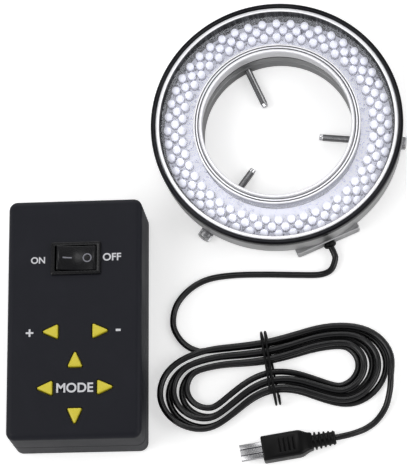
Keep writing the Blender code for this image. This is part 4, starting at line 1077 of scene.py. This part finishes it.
@dataclass
class ControlBox(Assembly):
    """The hand-held box with its two half cases, switch, arrow buttons, print and sockets."""

    at: Matrix = field(default_factory=lambda: shift(-0.0825, -0.084))
    width: float = 0.055
    length: float = 0.100
    top: float = 0.030
    wall: float = 0.002
    corner: float = 0.0035
    edge: float = 0.0025
    edge_steps: int = 10
    seam: float = 0.0138
    seam_step: float = 0.0004
    seam_edge: float = 0.00015
    offset: float = 0.0006
    boss_places: tuple[Flat, ...] = ((-0.021, -0.0435), (-0.021, 0.0435), (0.021, -0.0435), (0.021, 0.0435))
    boss: float = 0.0028
    arrow_length: float = 0.0067
    arrow_base: float = 0.0061
    arrow_soft: float = 0.00045
    cap_under: float = 0.0277
    cap_top: float = 0.0311
    plus_reach: float = 0.0104
    plus_level: float = -0.0057
    mode_reach: float = 0.0125
    mode_level: float = -0.0291
    mode_rise: float = 0.0119
    switch_level: float = 0.0248
    switch_top: float = 0.0312
    switch_hole: Flat = (0.0097, 0.0067)
    pivot: float = 0.0295
    rest_tilt: float = 7.0
    rocker_half: Flat = (0.0079, 0.0051)
    rocker_middle: float = 0.0017
    rocker_rise: float = 0.0011
    bar: Corner = (-0.0055, -0.0018, 0.00028)
    circle: Corner = (0.0045, 0.00135, 0.00185)
    mark_lift: float = 0.00004
    mark_depth: float = 0.0001
    print_weight: float = 0.022
    print_lift: float = 0.00003
    panel_hole: Flat = (0.0138, 0.00605)
    panel: Corner = (0.027, 0.0115, 0.0006)
    panel_ends: Flat = (0.0472, 0.0488)
    data_reach: float = -0.0062
    data_window: Flat = (0.00415, 0.00225)
    tongue: Corner = (0.0044, 0.0009, 0.0002)
    tongue_ends: Flat = (0.0405, 0.0478)
    jack_reach: float = 0.0060
    jack_window: float = 0.0045
    contacts: int = 5
    contact_pitch: float = 0.0008
    contact_half: float = 0.00018
    contact_ends: Flat = (0.0412, 0.0476)
    contact_rise: Flat = (0.0004, 0.0005)

    @property
    def middle(self) -> float:
        """The height of the sockets."""
        return self.seam + GAP / 2

    @property
    def arrows(self) -> dict[str, Matrix]:
        """Each arrow button's name with its frame on the box."""
        places = (
            ("plus", -self.plus_reach, self.plus_level, 180), ("minus", self.plus_reach, self.plus_level, 0),
            ("mode_up", 0.0, self.mode_level + self.mode_rise, 90),
            ("mode_down", 0.0, self.mode_level - self.mode_rise, 270),
            ("mode_left", -self.mode_reach, self.mode_level, 180),
            ("mode_right", self.mode_reach, self.mode_level, 0),
        )
        return {f"button_{name}": shift(self.offset + x, y) @ spin(heading) for name, x, y, heading in places}

    def build(self) -> None:
        """Make every piece of the box and dress the solids that stay."""
        self.build_cases()
        self.build_buttons()
        self.build_switch()
        self.build_print()
        self.build_sockets()
        self.dress("control_board", Finishes.board)
        for number in range(1, 5):
            self.dress(f"case_screw_{number}", Finishes.knurl)

    def half(self, open_height: float, closed_height: float) -> Shape:
        """Return a half case, from the inside of its closed face to the outside.

        Args:
            open_height: where its open side lies.
            closed_height: where its face lies.

        Returns:
            The shape.
        """
        way = 1 if closed_height > open_height else -1
        hollow = self.corner - self.wall
        levels = [
            (self.wall, hollow, closed_height - way * self.wall),
            (self.wall, hollow, open_height + way * self.seam_step),
            (self.wall - self.seam_step, hollow + self.seam_step, open_height),
            (self.seam_edge, self.corner, open_height),
            (0.0, self.corner, open_height + way * self.seam_edge),
        ]
        for share in shares(self.edge_steps):
            turn = share * pi / 2
            inset, rise = self.edge * (1 - cos(turn)), self.edge * (1 - sin(turn))
            levels.append((inset, self.corner - inset, closed_height - way * rise))
        return Shape().bars(
            (self.width - 2 * inset, self.length - 2 * inset, corner, height)
            for inset, corner, height in levels
        )

    def arrow(self, grow: float) -> list[Flat]:
        """Return an arrow's outline that points along +X, with soft corners."""
        slope = hypot(self.arrow_length, self.arrow_base / 2)
        tip = self.arrow_length / 2 + grow * slope / (self.arrow_base / 2)
        half = self.arrow_base / 2 + grow * (slope + self.arrow_base / 2) / self.arrow_length
        back = -self.arrow_length / 2 - grow
        soft = max(0.00012, self.arrow_soft + grow)
        return fillet([(back, -half, soft), (tip, 0.0, soft), (back, half, soft)], 5)

    def window(self, reach: float, half: Flat, ends: Flat) -> Shape:
        """Return a box to cut the top end with, at the height of the sockets."""
        low = (self.offset + reach - half[0], ends[0], self.middle - half[1])
        return Shape().block(low, (self.offset + reach + half[0], ends[1], self.middle + half[1]))

    def build_cases(self) -> None:
        """Make both half cases, cut for the buttons, the switch, the sockets and the screws."""
        top, level = self.top, self.switch_level
        holes, sinks = Shape(), Shape()
        low, high = top - 0.004, top + 0.002
        levels = ((0.0004, low), (0.0004, top - 0.00015), (0.0006, top + 0.0001), (0.0006, high))
        for at in self.arrows.values():
            holes.stack(((self.arrow(grow), height) for grow, height in levels), at)
        wide, long = self.switch_hole
        holes.block((self.offset - wide, level - long, low), (self.offset + wide, level + long, high))
        pilot = ((0.0011, 0.0196), (0.0011, 0.0280))
        sink = (
            (0.0027, -0.002), (0.0027, 0.0), (0.0025, 0.0002),
            (0.0025, 0.0019), (0.0013, 0.0019), (0.0013, 0.022),
        )
        for spot in self.boss_places:
            holes.turned(pilot, 20, at=shift(*spot))
            sinks.turned(sink, 28, at=shift(*spot))
        halves = (
            ("front", self.seam + GAP, top, (0.0219, 0.0290), holes),
            ("back", self.seam, 0.0, (0.0010, 0.0197), sinks),
        )
        for side, open_height, closed_height, post_ends, cuts in halves:
            half = self.half(open_height, closed_height)
            item = self.keep(f"{side}_shell", half, "case_black", Finishes.case, f"{side}_case")
            posts = Shape()
            for spot in self.boss_places:
                posts.turned([(self.boss, height) for height in post_ends], 24, at=shift(*spot))
            self.trim(item, posts, union=True)
            self.trim(item, cuts, self.window(0.0, self.panel_hole, (0.046, 0.052)))

    def build_buttons(self) -> None:
        """Make the six arrow buttons, each on its own body."""
        under, top = self.cap_under, self.cap_top
        levels = (
            (-0.0007, under - 0.0015), (-0.0007, under - 0.0010), (0.0008, under - 0.0010), (0.0008, under),
            (0.0, under), (0.0, top - 0.0006), (-0.00007, top - 0.00034), (-0.00024, top - 0.00012),
            (-0.0005, top), (-0.0014, top),
        )
        for name, at in self.arrows.items():
            cap = Shape().stack((self.arrow(grow), height) for grow, height in levels)
            self.keep(f"{name}_cap", cap, "button_yellow", Finishes.yellow, name, body=name, at=at,
                      smooth=40.0)

    def build_switch(self) -> None:
        """Make the switch's frame and the rocker with its two marks."""
        top, face = self.switch_top, self.top + GAP
        sizes = (
            (0.0188, 0.0128, 0.0003, 0.0219), (0.0188, 0.0128, 0.0003, face),
            (0.0205, 0.0138, 0.0006, face), (0.0205, 0.0138, 0.0006, top - 0.0006),
            (0.0204, 0.0137, 0.0006, top - 0.0003), (0.0202, 0.0135, 0.0005, top - 0.0001),
            (0.0198, 0.0131, 0.0004, top), (0.0174, 0.0110, 0.0003, top),
            (0.0172, 0.0108, 0.0002, top - 0.0002), (0.0170, 0.0108, 0.0002, 0.0253),
        )
        spot = shift(self.offset, self.switch_level)
        self.keep("switch_frame", Shape().bars(sizes, 4), "switch_black", Finishes.switch, "switch_body",
                  at=spot, smooth=30.0)
        tilt = spot @ shift(z=self.pivot) @ spin(self.rest_tilt, "Y")
        self.keep("rocker_cap", self.rocker(), "switch_black", Finishes.switch, "rocker", body="rocker",
                  at=tilt, smooth=38.0)
        for name, mark in (("rocker_bar", self.rocker_bar()), ("rocker_circle", self.rocker_circle())):
            self.keep(name, mark, "button_yellow", Finishes.faint_ink, body="rocker", at=tilt)

    def rocker_top(self, x: float) -> float:
        """Return how high the rocker's curved top is at a place along it."""
        return self.rocker_middle + self.rocker_rise * min(1.0, abs(x) / self.rocker_half[0]) ** 1.6

    def rocker(self) -> Shape:
        """Return the saddle-shaped rocker."""
        half, side = self.rocker_half
        rows = [(-side, -0.00035), (-side + 0.00012, -0.0001), (-side + 0.00035, 0.0)]
        rows += [(-y, sink) for y, sink in reversed(rows)]
        rings = []
        for share in shares(24):
            x = half * (2 * share - 1)
            drop = 0.00035 if abs(x) > half - 0.00005 else 0.0
            low = 0.0002 if abs(x) > 0.0030 else -0.0036
            top = [(x, y, self.rocker_top(x) + sink - drop) for y, sink in rows]
            rings.append([(x, -side, low), *top, (x, side, low)])
        return Shape().skin(rings)

    def rocker_bar(self) -> Shape:
        """Return the bar that lies on the rocker."""
        low, high, half = self.bar
        rings = []
        for share in shares(6):
            x = low + (high - low) * share
            top = self.rocker_top(x) + self.mark_lift
            foot = top - self.mark_depth
            rings.append([(x, -half, foot), (x, half, foot), (x, half, top), (x, -half, top)])
        return Shape().skin(rings)

    def rocker_circle(self) -> Shape:
        """Return the circle that lies on the rocker."""
        middle, inner, outer = self.circle
        foot, top = -self.mark_depth, self.mark_lift
        rings = []
        for share in shares(40, 0):
            turn = 2 * pi * share
            ring = []
            for reach, rise in ((inner, foot), (outer, foot), (outer, top), (inner, top)):
                x = middle + reach * cos(turn)
                ring.append((x, reach * sin(turn), self.rocker_top(x) + rise))
            rings.append(ring)
        return Shape().skin(rings, around=True)

    def build_print(self) -> None:
        """Print the function marks on the face."""
        marks = (
            ("print_on", "ON", -0.0150, 0.0245, 0.0058), ("print_off", "OFF", 0.0154, 0.0252, 0.0075),
            ("print_plus", "+", -0.0181, -0.0060, 0.0031), ("print_minus", "-", 0.0181, -0.0056, 0.0020),
            ("print_mode", "MODE", 0.0006, -0.0291, 0.0150),
        )
        for name, words, x, y, wide in marks:
            text = bpy.data.curves.new(name, "FONT")
            text.body = words
            text.align_x = text.align_y = "CENTER"
            text.offset = self.print_weight
            draft = placed(f"{name}_draft", text)
            mesh = solved(draft)
            bpy.data.objects.remove(draft, do_unlink=True)
            low, high = (
                Vector(pick(vertex.co[axis] for vertex in mesh.vertices) for axis in range(3))
                for pick in (min, max)
            )
            for vertex in mesh.vertices:
                flat = (vertex.co - (low + high) / 2) * (wide / (high.x - low.x))
                vertex.co = (flat.x, flat.y, self.print_lift)
            mesh.name = name
            self.keep(name, mesh, "button_yellow", Finishes.ink, at=shift(x, y, self.top))

    def build_sockets(self) -> None:
        """Make the recessed panel, the data socket with its contacts, and the power jack."""
        plate, data, jack = (
            shift(self.offset + reach, 0, self.middle) @ spin(-90, "X")
            for reach in (0.0, self.data_reach, self.jack_reach)
        )
        back, front = self.panel_ends
        wide, high, corner = self.panel
        levels = ((0.0, back), (0.0, front - 0.0003), (-0.0003, front))
        sizes = ((wide + 2 * grow, high + 2 * grow, corner + grow, along) for grow, along in levels)
        panel = Shape().bars(sizes, 4, plate)
        item = self.keep("socket_plate", panel, "case_black", Finishes.case, "socket_panel")
        window = self.window(self.data_reach, self.data_window, (0.045, 0.051))
        window.turned([(self.jack_window, 0.045), (self.jack_window, 0.051)], 40, at=jack)
        self.trim(item, window)
        sizes = (
            (0.0077, 0.0039, 0.0003, 0.0398), (0.0077, 0.0039, 0.0003, 0.0487),
            (0.0075, 0.0037, 0.0003, 0.0488), (0.0071, 0.0033, 0.0002, 0.0488),
            (0.0069, 0.0031, 0.0002, 0.0486), (0.0069, 0.0031, 0.0002, 0.0408),
        )
        self.keep("data_socket", Shape().bars(sizes, 4, data), "polished_metal", Finishes.plated,
                  "usb_socket", smooth=30.0)
        tongue = Shape().bars(((*self.tongue, end) for end in self.tongue_ends), 3, data)
        self.keep("socket_tongue", tongue, "switch_black", Finishes.switch)
        contacts = Shape()
        for place in range(self.contacts):
            x = self.offset + self.data_reach + self.contact_pitch * (place - (self.contacts - 1) / 2)
            low, high = (
                (x + way * self.contact_half, end, self.middle + rise)
                for way, end, rise in zip((-1, 1), self.contact_ends, self.contact_rise)
            )
            contacts.block(low, high)
        self.keep("socket_contacts", contacts, "polished_metal", Finishes.gold)
        barrel = (
            (0.0040, 0.0393), (0.0042, 0.0395), (0.0042, 0.0486), (0.0041, 0.0488), (0.0031, 0.0488),
            (0.0029, 0.0486), (0.0029, 0.0408), (0.00115, 0.0408),
        )
        pin = ((0.0010, 0.0409), (0.0010, 0.0471), (0.0008, 0.0473), (0.0003, 0.0473))
        self.keep("jack_barrel", Shape().turned(barrel, 48, at=jack), "switch_black", Finishes.switch,
                  "power_jack", smooth=30.0)
        self.keep("jack_pin", Shape().turned(pin, 24, at=jack), "polished_metal", Finishes.plated,
                  smooth=30.0)


@dataclass
class Cord(Assembly):
    """The free cord in one smooth line: from the ring, through the tied hank, to the plug."""

    radius: float = 0.0013
    lift: float = 0.0001
    rooted: float = 0.0004
    exit_reach: float = 0.0543
    hank_place: Point = (-0.0258, -0.0510, 0.0)
    hank_angle: float = 9.5
    pitch: float = 0.0036
    layer: float = 0.0033
    loop_points: int = 24
    reversal: int = 62
    after: int = 66
    before_middle: int = 2
    climb_steps: int = 3
    fold: float = 0.0076
    fold_share: float = 0.25
    right: float = 0.0270
    left: float = 0.0265
    growth: float = 0.0020
    waist_reach: float = 0.029
    waist_half: float = 0.0017
    waist_lift: float = 0.0015
    bow: float = 0.096
    plug_place: Point = (0.0005, -0.0805, 0.0042)
    plug_angle: float = 188.8
    ring_route: tuple[Point, ...] = (
        (0.0015, -0.0049, 0.0029), (-0.0003, -0.0092, 0.0022), (-0.0048, -0.0110, 0.0016),
        (-0.0131, -0.0109), (-0.0281, -0.0103), (-0.0416, -0.0103), (-0.0521, -0.0119), (-0.0598, -0.0163),
        (-0.0649, -0.0228), (-0.0662, -0.0305), (-0.0639, -0.0363), (-0.0598, -0.0405), (-0.0546, -0.0427),
    )
    plug_route: tuple[Point, ...] = (
        (0.0228, -0.0620, 0.0041), (0.0211, -0.0678, 0.0026), (0.0175, -0.0730, 0.0016),
        (0.0129, -0.0765, 0.0018), (0.0077, -0.0788, 0.0032),
    )

    @property
    def outward(self) -> Vector:
        """The way the cord leaves the grommet."""
        return spin(EXIT_ANGLE) @ Vector((1, 0, 0))

    @property
    def start(self) -> Vector:
        """The place where the cord leaves the grommet."""
        return self.outward * self.exit_reach + Vector((0, 0, RADIAL_HEIGHT))

    @property
    def plug_frame(self) -> Matrix:
        """The plug's frame: X runs from the cord to the tip."""
        return Matrix.Translation(self.from_exit(self.plug_place)) @ spin(self.plug_angle)

    @property
    def hank_frame(self) -> Matrix:
        """The hank's frame: X runs along it."""
        return Matrix.Translation(self.from_exit(self.hank_place)) @ spin(self.hank_angle)

    def from_exit(self, spot: Point) -> Vector:
        """Return a place that is given from the cord's exit, lying on the surface if it has no height."""
        x, y, z = (*spot, self.radius + self.lift)[:3]
        return Vector((self.start.x + x, self.start.y + y, z))

    def stadium(self, phase: float, grow: float) -> Flat:
        """Return a place on a loop.

        Args:
            phase: the share of the loop that lies behind, from the middle of its far run.
            grow: how many loops lie inside this one.

        Returns:
            The place along and across the hank.
        """
        fold = self.fold + self.pitch * grow
        right, left = self.right + self.growth * grow, self.left + self.growth * grow
        turn, half_run = phase % 1, (1 - 2 * self.fold_share) / 4
        if turn < half_run:
            return right * turn / half_run, fold
        if turn < half_run + self.fold_share:
            swing = (turn - half_run) / self.fold_share * pi
            return right + fold * sin(swing), fold * cos(swing)
        if turn < 3 * half_run + self.fold_share:
            share = (turn - half_run - self.fold_share) / (2 * half_run)
            return right - (right + left) * share, -fold
        if turn < 3 * half_run + 2 * self.fold_share:
            swing = (turn - 3 * half_run - self.fold_share) / self.fold_share * pi
            return -left - fold * sin(swing), -fold * cos(swing)
        share = (turn - 3 * half_run - 2 * self.fold_share) / half_run
        return -left * (1 - share), fold

    def hank(self) -> list[Vector]:
        """Return the places along the hank, in on the lower layer and out on the upper one."""
        points = []
        for step in range(self.reversal + self.after + 1):
            past = step - self.reversal
            climb = min(1.0, max(0.0, (past + self.climb_steps) / (2 * self.climb_steps)))
            climb = climb * climb * (3 - 2 * climb)
            phase = (step - self.before_middle) / self.loop_points
            along, across = self.stadium(phase, abs(past) / self.loop_points)
            near = max(0.0, 1 - (along / self.waist_reach) ** 2) ** 2
            across -= (1 if across > 0 else -1) * (self.fold - self.waist_half) * near
            swing, reach = along / self.bow, self.bow + across
            height = self.radius + self.lift + self.layer * climb + self.waist_lift * near
            points.append(Vector((reach * sin(swing), reach * cos(swing) - self.bow, height)))
        return [self.hank_frame @ point for point in points]

    def line(self) -> list[Vector]:
        """Return the whole cord's line."""
        hank, run = self.hank(), 2 * self.radius
        arriving, leaving = (hank[1] - hank[0]).normalized(), (hank[-1] - hank[-2]).normalized()
        heading = self.plug_frame.to_3x3() @ Vector((1, 0, 0))
        entry = self.from_exit(self.plug_place) + heading * self.rooted
        to_hank = [self.start, self.start + self.outward * run, *map(self.from_exit, self.ring_route)]
        to_hank += [hank[0] - arriving * run, hank[0]]
        to_plug = [hank[-1], hank[-1] + leaving * run, *map(self.from_exit, self.plug_route)]
        to_plug += [entry - heading * run, entry]
        fine = smooth_line(to_hank, 8)[:-1] + smooth_line(hank, 4)[:-1] + smooth_line(to_plug, 8)
        for _ in range(2):
            fine = [fine[0], *((a + b * 2 + c) / 4 for a, b, c in zip(fine, fine[1:], fine[2:])), fine[-1]]
        return fine

    def build(self) -> None:
        """Make the cord with its tie and its plug."""
        line = self.line()
        item = self.keep("cord", tube("cord", line, self.radius, 4), "cord_black", Finishes.cord,
                         "cord_to_ring", "cord_hank", "cord_to_plug")
        pieces = []
        for group in (CordTie(cord=self), Plug(at=self.plug_frame)):
            group.build()
            self.made += group.made
            pieces += [bpy.data.objects[name] for name in group.made]
        length = sum((second - first).length for first, second in zip(line, line[1:]))
        tuple(self.start)


@dataclass
class CordTie(Assembly):
    """The thin tie that is wound twice round the hank's waist."""

    cord: Cord | None = None
    radius: float = 0.0005
    pitch: float = 0.0016
    turns: int = 2
    clearance: float = 0.0004
    flat_steps: int = 8
    end_steps: int = 12

    def outline(self) -> list[Flat]:
        """Return one turn of the tie as places across and up."""
        cord = self.cord
        outer = cord.waist_half + cord.pitch * cord.after / cord.loop_points
        room = cord.radius + self.clearance + self.radius
        low = cord.radius + cord.lift + cord.waist_lift
        half, middle = cord.layer / 2 + room, low + cord.layer / 2
        places = []
        for side in (1, -1):
            for share in shares(self.flat_steps, 0):
                places.append((side * outer * (2 * share - 1), middle + side * half))
            for share in shares(self.end_steps, 0):
                turn = pi * share
                places.append((side * (outer + half * sin(turn)), middle + side * half * cos(turn)))
        return places

    def build(self) -> None:
        """Make the tie."""
        outline = self.outline()
        steps = self.turns * len(outline)
        points = []
        for step in range(steps):
            along = self.pitch * self.turns * (step / steps - 1 / 2)
            points.append(self.cord.hank_frame @ Vector((along, *outline[step % len(outline)])))
        curve = tube("hank_tie", points, self.radius, 3)
        self.keep("hank_tie", curve, "cord_black", Finishes.moulding, "twist_tie")


@dataclass
class Plug(Assembly):
    """The ribbed strain relief, the grooved plug and its hollow metal tip."""

    relief: float = 0.0094
    ribs: int = 5
    rib_radius: float = 0.0037
    rib_shares: tuple[float, ...] = (0.2, 0.28, 0.36, 0.48, 0.56, 0.64)
    rib_drops: tuple[float, ...] = (0.0003, 0.00005, 0.0, 0.0, 0.00005, 0.0003)
    neck: float = 0.0026
    taper: float = 0.0007
    length: float = 0.0208
    width: float = 0.0104
    thickness: float = 0.0080
    corner: float = 0.0012
    tail: float = 0.68
    tail_length: float = 0.0006
    tail_steps: int = 6
    shoulder_share: float = 0.28
    grips: int = 4
    grip_pitch: float = 0.0019
    grip_depth: float = 0.00045
    grip: Flat = (0.0009, 0.0062)
    tip: float = 0.0088
    tip_half: Flat = (0.0034, 0.00155)
    tip_foot: float = 0.0026
    seam_floor: float = 0.00139
    tip_hollow: float = 0.75
    tip_depth: float = 0.006

    @property
    def along(self) -> Matrix:
        """The frame in which a stack's outlines lie across the plug."""
        return spin(90, "Z") @ spin(90, "X")

    def build(self) -> None:
        """Make the plug's three pieces."""
        self.build_relief()
        self.build_body()
        self.build_tip()

    def build_relief(self) -> None:
        """Make the ribbed strain relief."""
        pitch = self.relief / self.ribs
        profile = []
        for rib in range(self.ribs):
            crown = self.rib_radius - self.taper * (self.ribs - 1 - rib) / (self.ribs - 1)
            bulge = [(share, crown - drop) for share, drop in zip(self.rib_shares, self.rib_drops)]
            for share, radius in ((0.0, self.neck), (0.12, self.neck), *bulge, (0.72, self.neck)):
                profile.append((radius, (rib + share) * pitch))
        profile.append((self.neck, self.relief + GAP))
        self.keep("strain_relief", Shape().turned(profile, 40), "cord_black", Finishes.moulding,
                  "plug_relief", at=spin(90, "Y"), smooth=50.0)

    def build_body(self) -> None:
        """Make the moulded plug with grip grooves on both faces."""
        end, shoulder = self.relief + self.length, self.relief + self.length * self.shoulder_share
        tail_end = self.relief + self.tail_length
        stations = [(self.relief, self.tail - 0.10), (self.relief + 0.0002, self.tail - 0.04)]
        for share in shares(self.tail_steps):
            eased = share * share * (3 - 2 * share)
            stations.append((tail_end + (shoulder - tail_end) * share, self.tail + (1 - self.tail) * eased))
        stations += [(end - 0.0007, 1.0), (end - 0.00035, 0.985), (end - 0.0001, 0.95), (end, 0.89)]
        whole = (self.width, self.thickness, self.corner)
        sizes = ((*(size * scale for size in whole), place) for place, scale in stations)
        body = Shape().bars(sizes, 6, self.along)
        item = self.keep("plug_shell", body, "cord_black", Finishes.moulding, "plug_body", smooth=40.0)
        grooves = Shape()
        for side in (-1, 1):
            deep = side * self.grip_depth
            levels = ((-0.0002, -deep), (0.0, -deep * 0.6), (0.00012, side * 0.0004))
            for rib in range(1, self.grips + 1):
                spot = shift(shoulder + self.grip_pitch * rib, 0, side * self.thickness / 2)
                wide, long = self.grip
                sizes = ((wide + 2 * grow, long + 2 * grow, 0.0004, height) for grow, height in levels)
                grooves.bars(sizes, 4, spot)
        self.trim(item, grooves, smooth=40.0)

    def build_tip(self) -> None:
        """Make the folded metal tip, open at its face."""
        end, (half, top), deep = self.relief + self.length, self.tip_half, self.seam_floor
        front = end + GAP + self.tip
        seam = ((0.00145, top, 0.0), (0.00140, deep, 0.0), (0.00110, deep, 0.0), (0.00105, top, 0.0))
        right = ((self.tip_foot, -top, 0.0005), (half, 0.0, 0.0005), (half, top, 0.0004), *seam)
        left = [(-y, z, radius) for y, z, radius in reversed(right)]
        outline, hollow = fillet([left[-1], *right, *left[:-1]]), self.tip_hollow
        levels = (
            (1.0, end - GAP), (1.0, front - 0.00015), (0.96, front), (hollow + 0.05, front),
            (hollow, front - 0.0002), (hollow, front - self.tip_depth),
        )
        tip = Shape().stack((
            ([(y * share, z * share) for y, z in outline], place) for share, place in levels
        ), self.along)

        def paint(spot: Vector, reach: float) -> int:
            """Return whether a face is the floor of a seam, which is painted dark as shade."""
            return int(deep - 0.00001 < spot.z < top - 0.00001 and 0.0010 < abs(spot.y) < 0.0015)

        # painted shade: the seams' floors take the dark groove finish
        finishes = [Finishes.plated, Finishes.groove]
        self.keep("metal_tip", tip, "polished_metal", finishes, "plug_tip", smooth=40.0, paint=paint)


@dataclass(frozen=True)
class Lamp:
    """One soft studio lamp."""

    name: str
    place: Point
    aim: Point
    width: float
    length: float
    watts: float
    gloss_only: bool = False

    def build(self) -> None:
        """Hang the lamp and aim it."""
        light = bpy.data.lights.new(self.name, "AREA")
        light.shape = "RECTANGLE"
        light.size = self.width
        light.size_y = self.length
        light.energy = self.watts
        turn = (Vector(self.aim) - Vector(self.place)).to_track_quat("-Z", "Y").to_matrix().to_4x4()
        item = placed(self.name, light, Matrix.Translation(self.place) @ turn)
        item.visible_diffuse = not self.gloss_only


@dataclass
class Studio:
    """Camera, pale floor, soft lamps and a white surround."""

    camera_place: Point = (0.0700, -0.3696, 1.13356)
    target: Point = (-0.03142, -0.04535, 0.010)
    camera_roll: float = -0.0036
    focal_pixels: float = 2831.2
    picture_width: float = 407.0
    sensor: float = 36.0
    floor_half: float = 6.0
    floor_white: float = 0.86
    floor_glow: float = 0.46
    sky_strength: float = 0.62
    sky_stops: tuple[Flat, ...] = ((0.0, 0.75), (0.25, 1.0), (0.55, 0.70), (0.80, 0.34), (1.0, 0.22))
    lamps: tuple[Lamp, ...] = (
        Lamp("key_lamp", (-0.75, -0.30, 0.95), (-0.03, -0.04, 0.0), 0.70, 0.70, 4.8),
        Lamp("fill_lamp", (0.85, -0.25, 0.70), (-0.03, -0.04, 0.0), 0.60, 0.60, 2.6),
        Lamp("back_lamp", (-0.10, 0.95, 0.60), (-0.03, -0.04, 0.0), 1.00, 0.40, 2.4),
        Lamp("top_panel", (-0.055, 0.225, 0.90), (-0.055, 0.225, 0.0), 0.28, 0.22, 0.70, gloss_only=True),
    )

    def build_camera(self) -> None:
        """Make the camera and use it."""
        data = bpy.data.cameras.new("camera")
        data.sensor_fit = "HORIZONTAL"
        data.sensor_width = self.sensor
        data.lens = self.sensor * self.focal_pixels / self.picture_width
        data.clip_start, data.clip_end = 0.01, 50.0
        ahead = (Vector(self.target) - Vector(self.camera_place)).normalized()
        side = ahead.cross(Vector((0, 1, 0))).normalized()
        side.rotate(Matrix.Rotation(-self.camera_roll, 3, ahead))
        turn = Matrix((side, side.cross(ahead), -ahead)).transposed().to_4x4()
        scene = bpy.context.scene
        scene.camera = placed("camera", data, Matrix.Translation(self.camera_place) @ turn)
        scene.view_settings.view_transform = "Standard"
        LOG.info("camera with a %.1f mm lens", data.lens)

    def build_floor(self) -> None:
        """Make the pale floor, which is white to the camera but for a soft shadow."""
        half = self.floor_half
        corners = [(x * half, y * half, 0) for x, y in ((-1, -1), (1, -1), (1, 1), (-1, 1))]
        mesh = bpy.data.meshes.new("studio_floor")
        mesh.from_pydata(corners, [], [range(4)])
        graph = Graph(bpy.data.materials.new("studio_floor"))
        seen = graph.node("ShaderNodeLightPath", out="Is Camera Ray")
        pale = (self.floor_white,) * 3
        plain = graph.node("ShaderNodeBsdfDiffuse", {"Color": pale})
        lifted = graph.principled(Base_Color=pale, Roughness=1.0, Specular_IOR_Level=0.0,
                                  Emission_Color=(1.0, 1.0, 1.0), Emission_Strength=self.floor_glow)
        mesh.materials.append(graph.show(graph.blend(seen, plain, lifted)))
        placed("studio_floor", mesh)

    def build_sky(self) -> None:
        """Surround the studio with white for the camera and a soft gradient for the light."""
        world = bpy.data.worlds.new("studio_sky")
        bpy.context.scene.world = world
        graph = Graph(world)
        _, _, height = graph.split(graph.node("ShaderNodeTexCoord", out="Generated"))
        stops = [(place, grey(level, level * 0.02)) for place, level in self.sky_stops]
        ramp = graph.node("ShaderNodeValToRGB", {0: height}, stops=stops)
        soft = graph.node("ShaderNodeBackground", {"Strength": self.sky_strength})
        mirrored = graph.node("ShaderNodeBackground", {"Color": ramp})
        white = graph.node("ShaderNodeBackground", {"Color": (1.0, 1.0, 1.0)})
        glossy = graph.node("ShaderNodeLightPath", out="Is Glossy Ray")
        seen = graph.node("ShaderNodeLightPath", out="Is Camera Ray")
        graph.show(graph.blend(seen, graph.blend(glossy, soft, mirrored), white))

    def build(self) -> None:
        """Make the floor, the surround and the lamps."""
        self.build_floor()
        self.build_sky()
        for lamp in self.lamps:
            lamp.build()


def main() -> None:
    """Make the camera and the cord first, then the rest of the pieces and the studio."""
    logging.basicConfig(level=logging.INFO, format="%(name)s: %(message)s")
    studio = Studio()
    studio.build_camera()
    for group in (Cord(), RingHead(), Thumbscrews(), CableExit(), ControlBox()):
        group.build()
        LOG.info("%s made of %d pieces", type(group).__name__, len(group.made))
    studio.build()


if __name__ == "__main__":
    main()
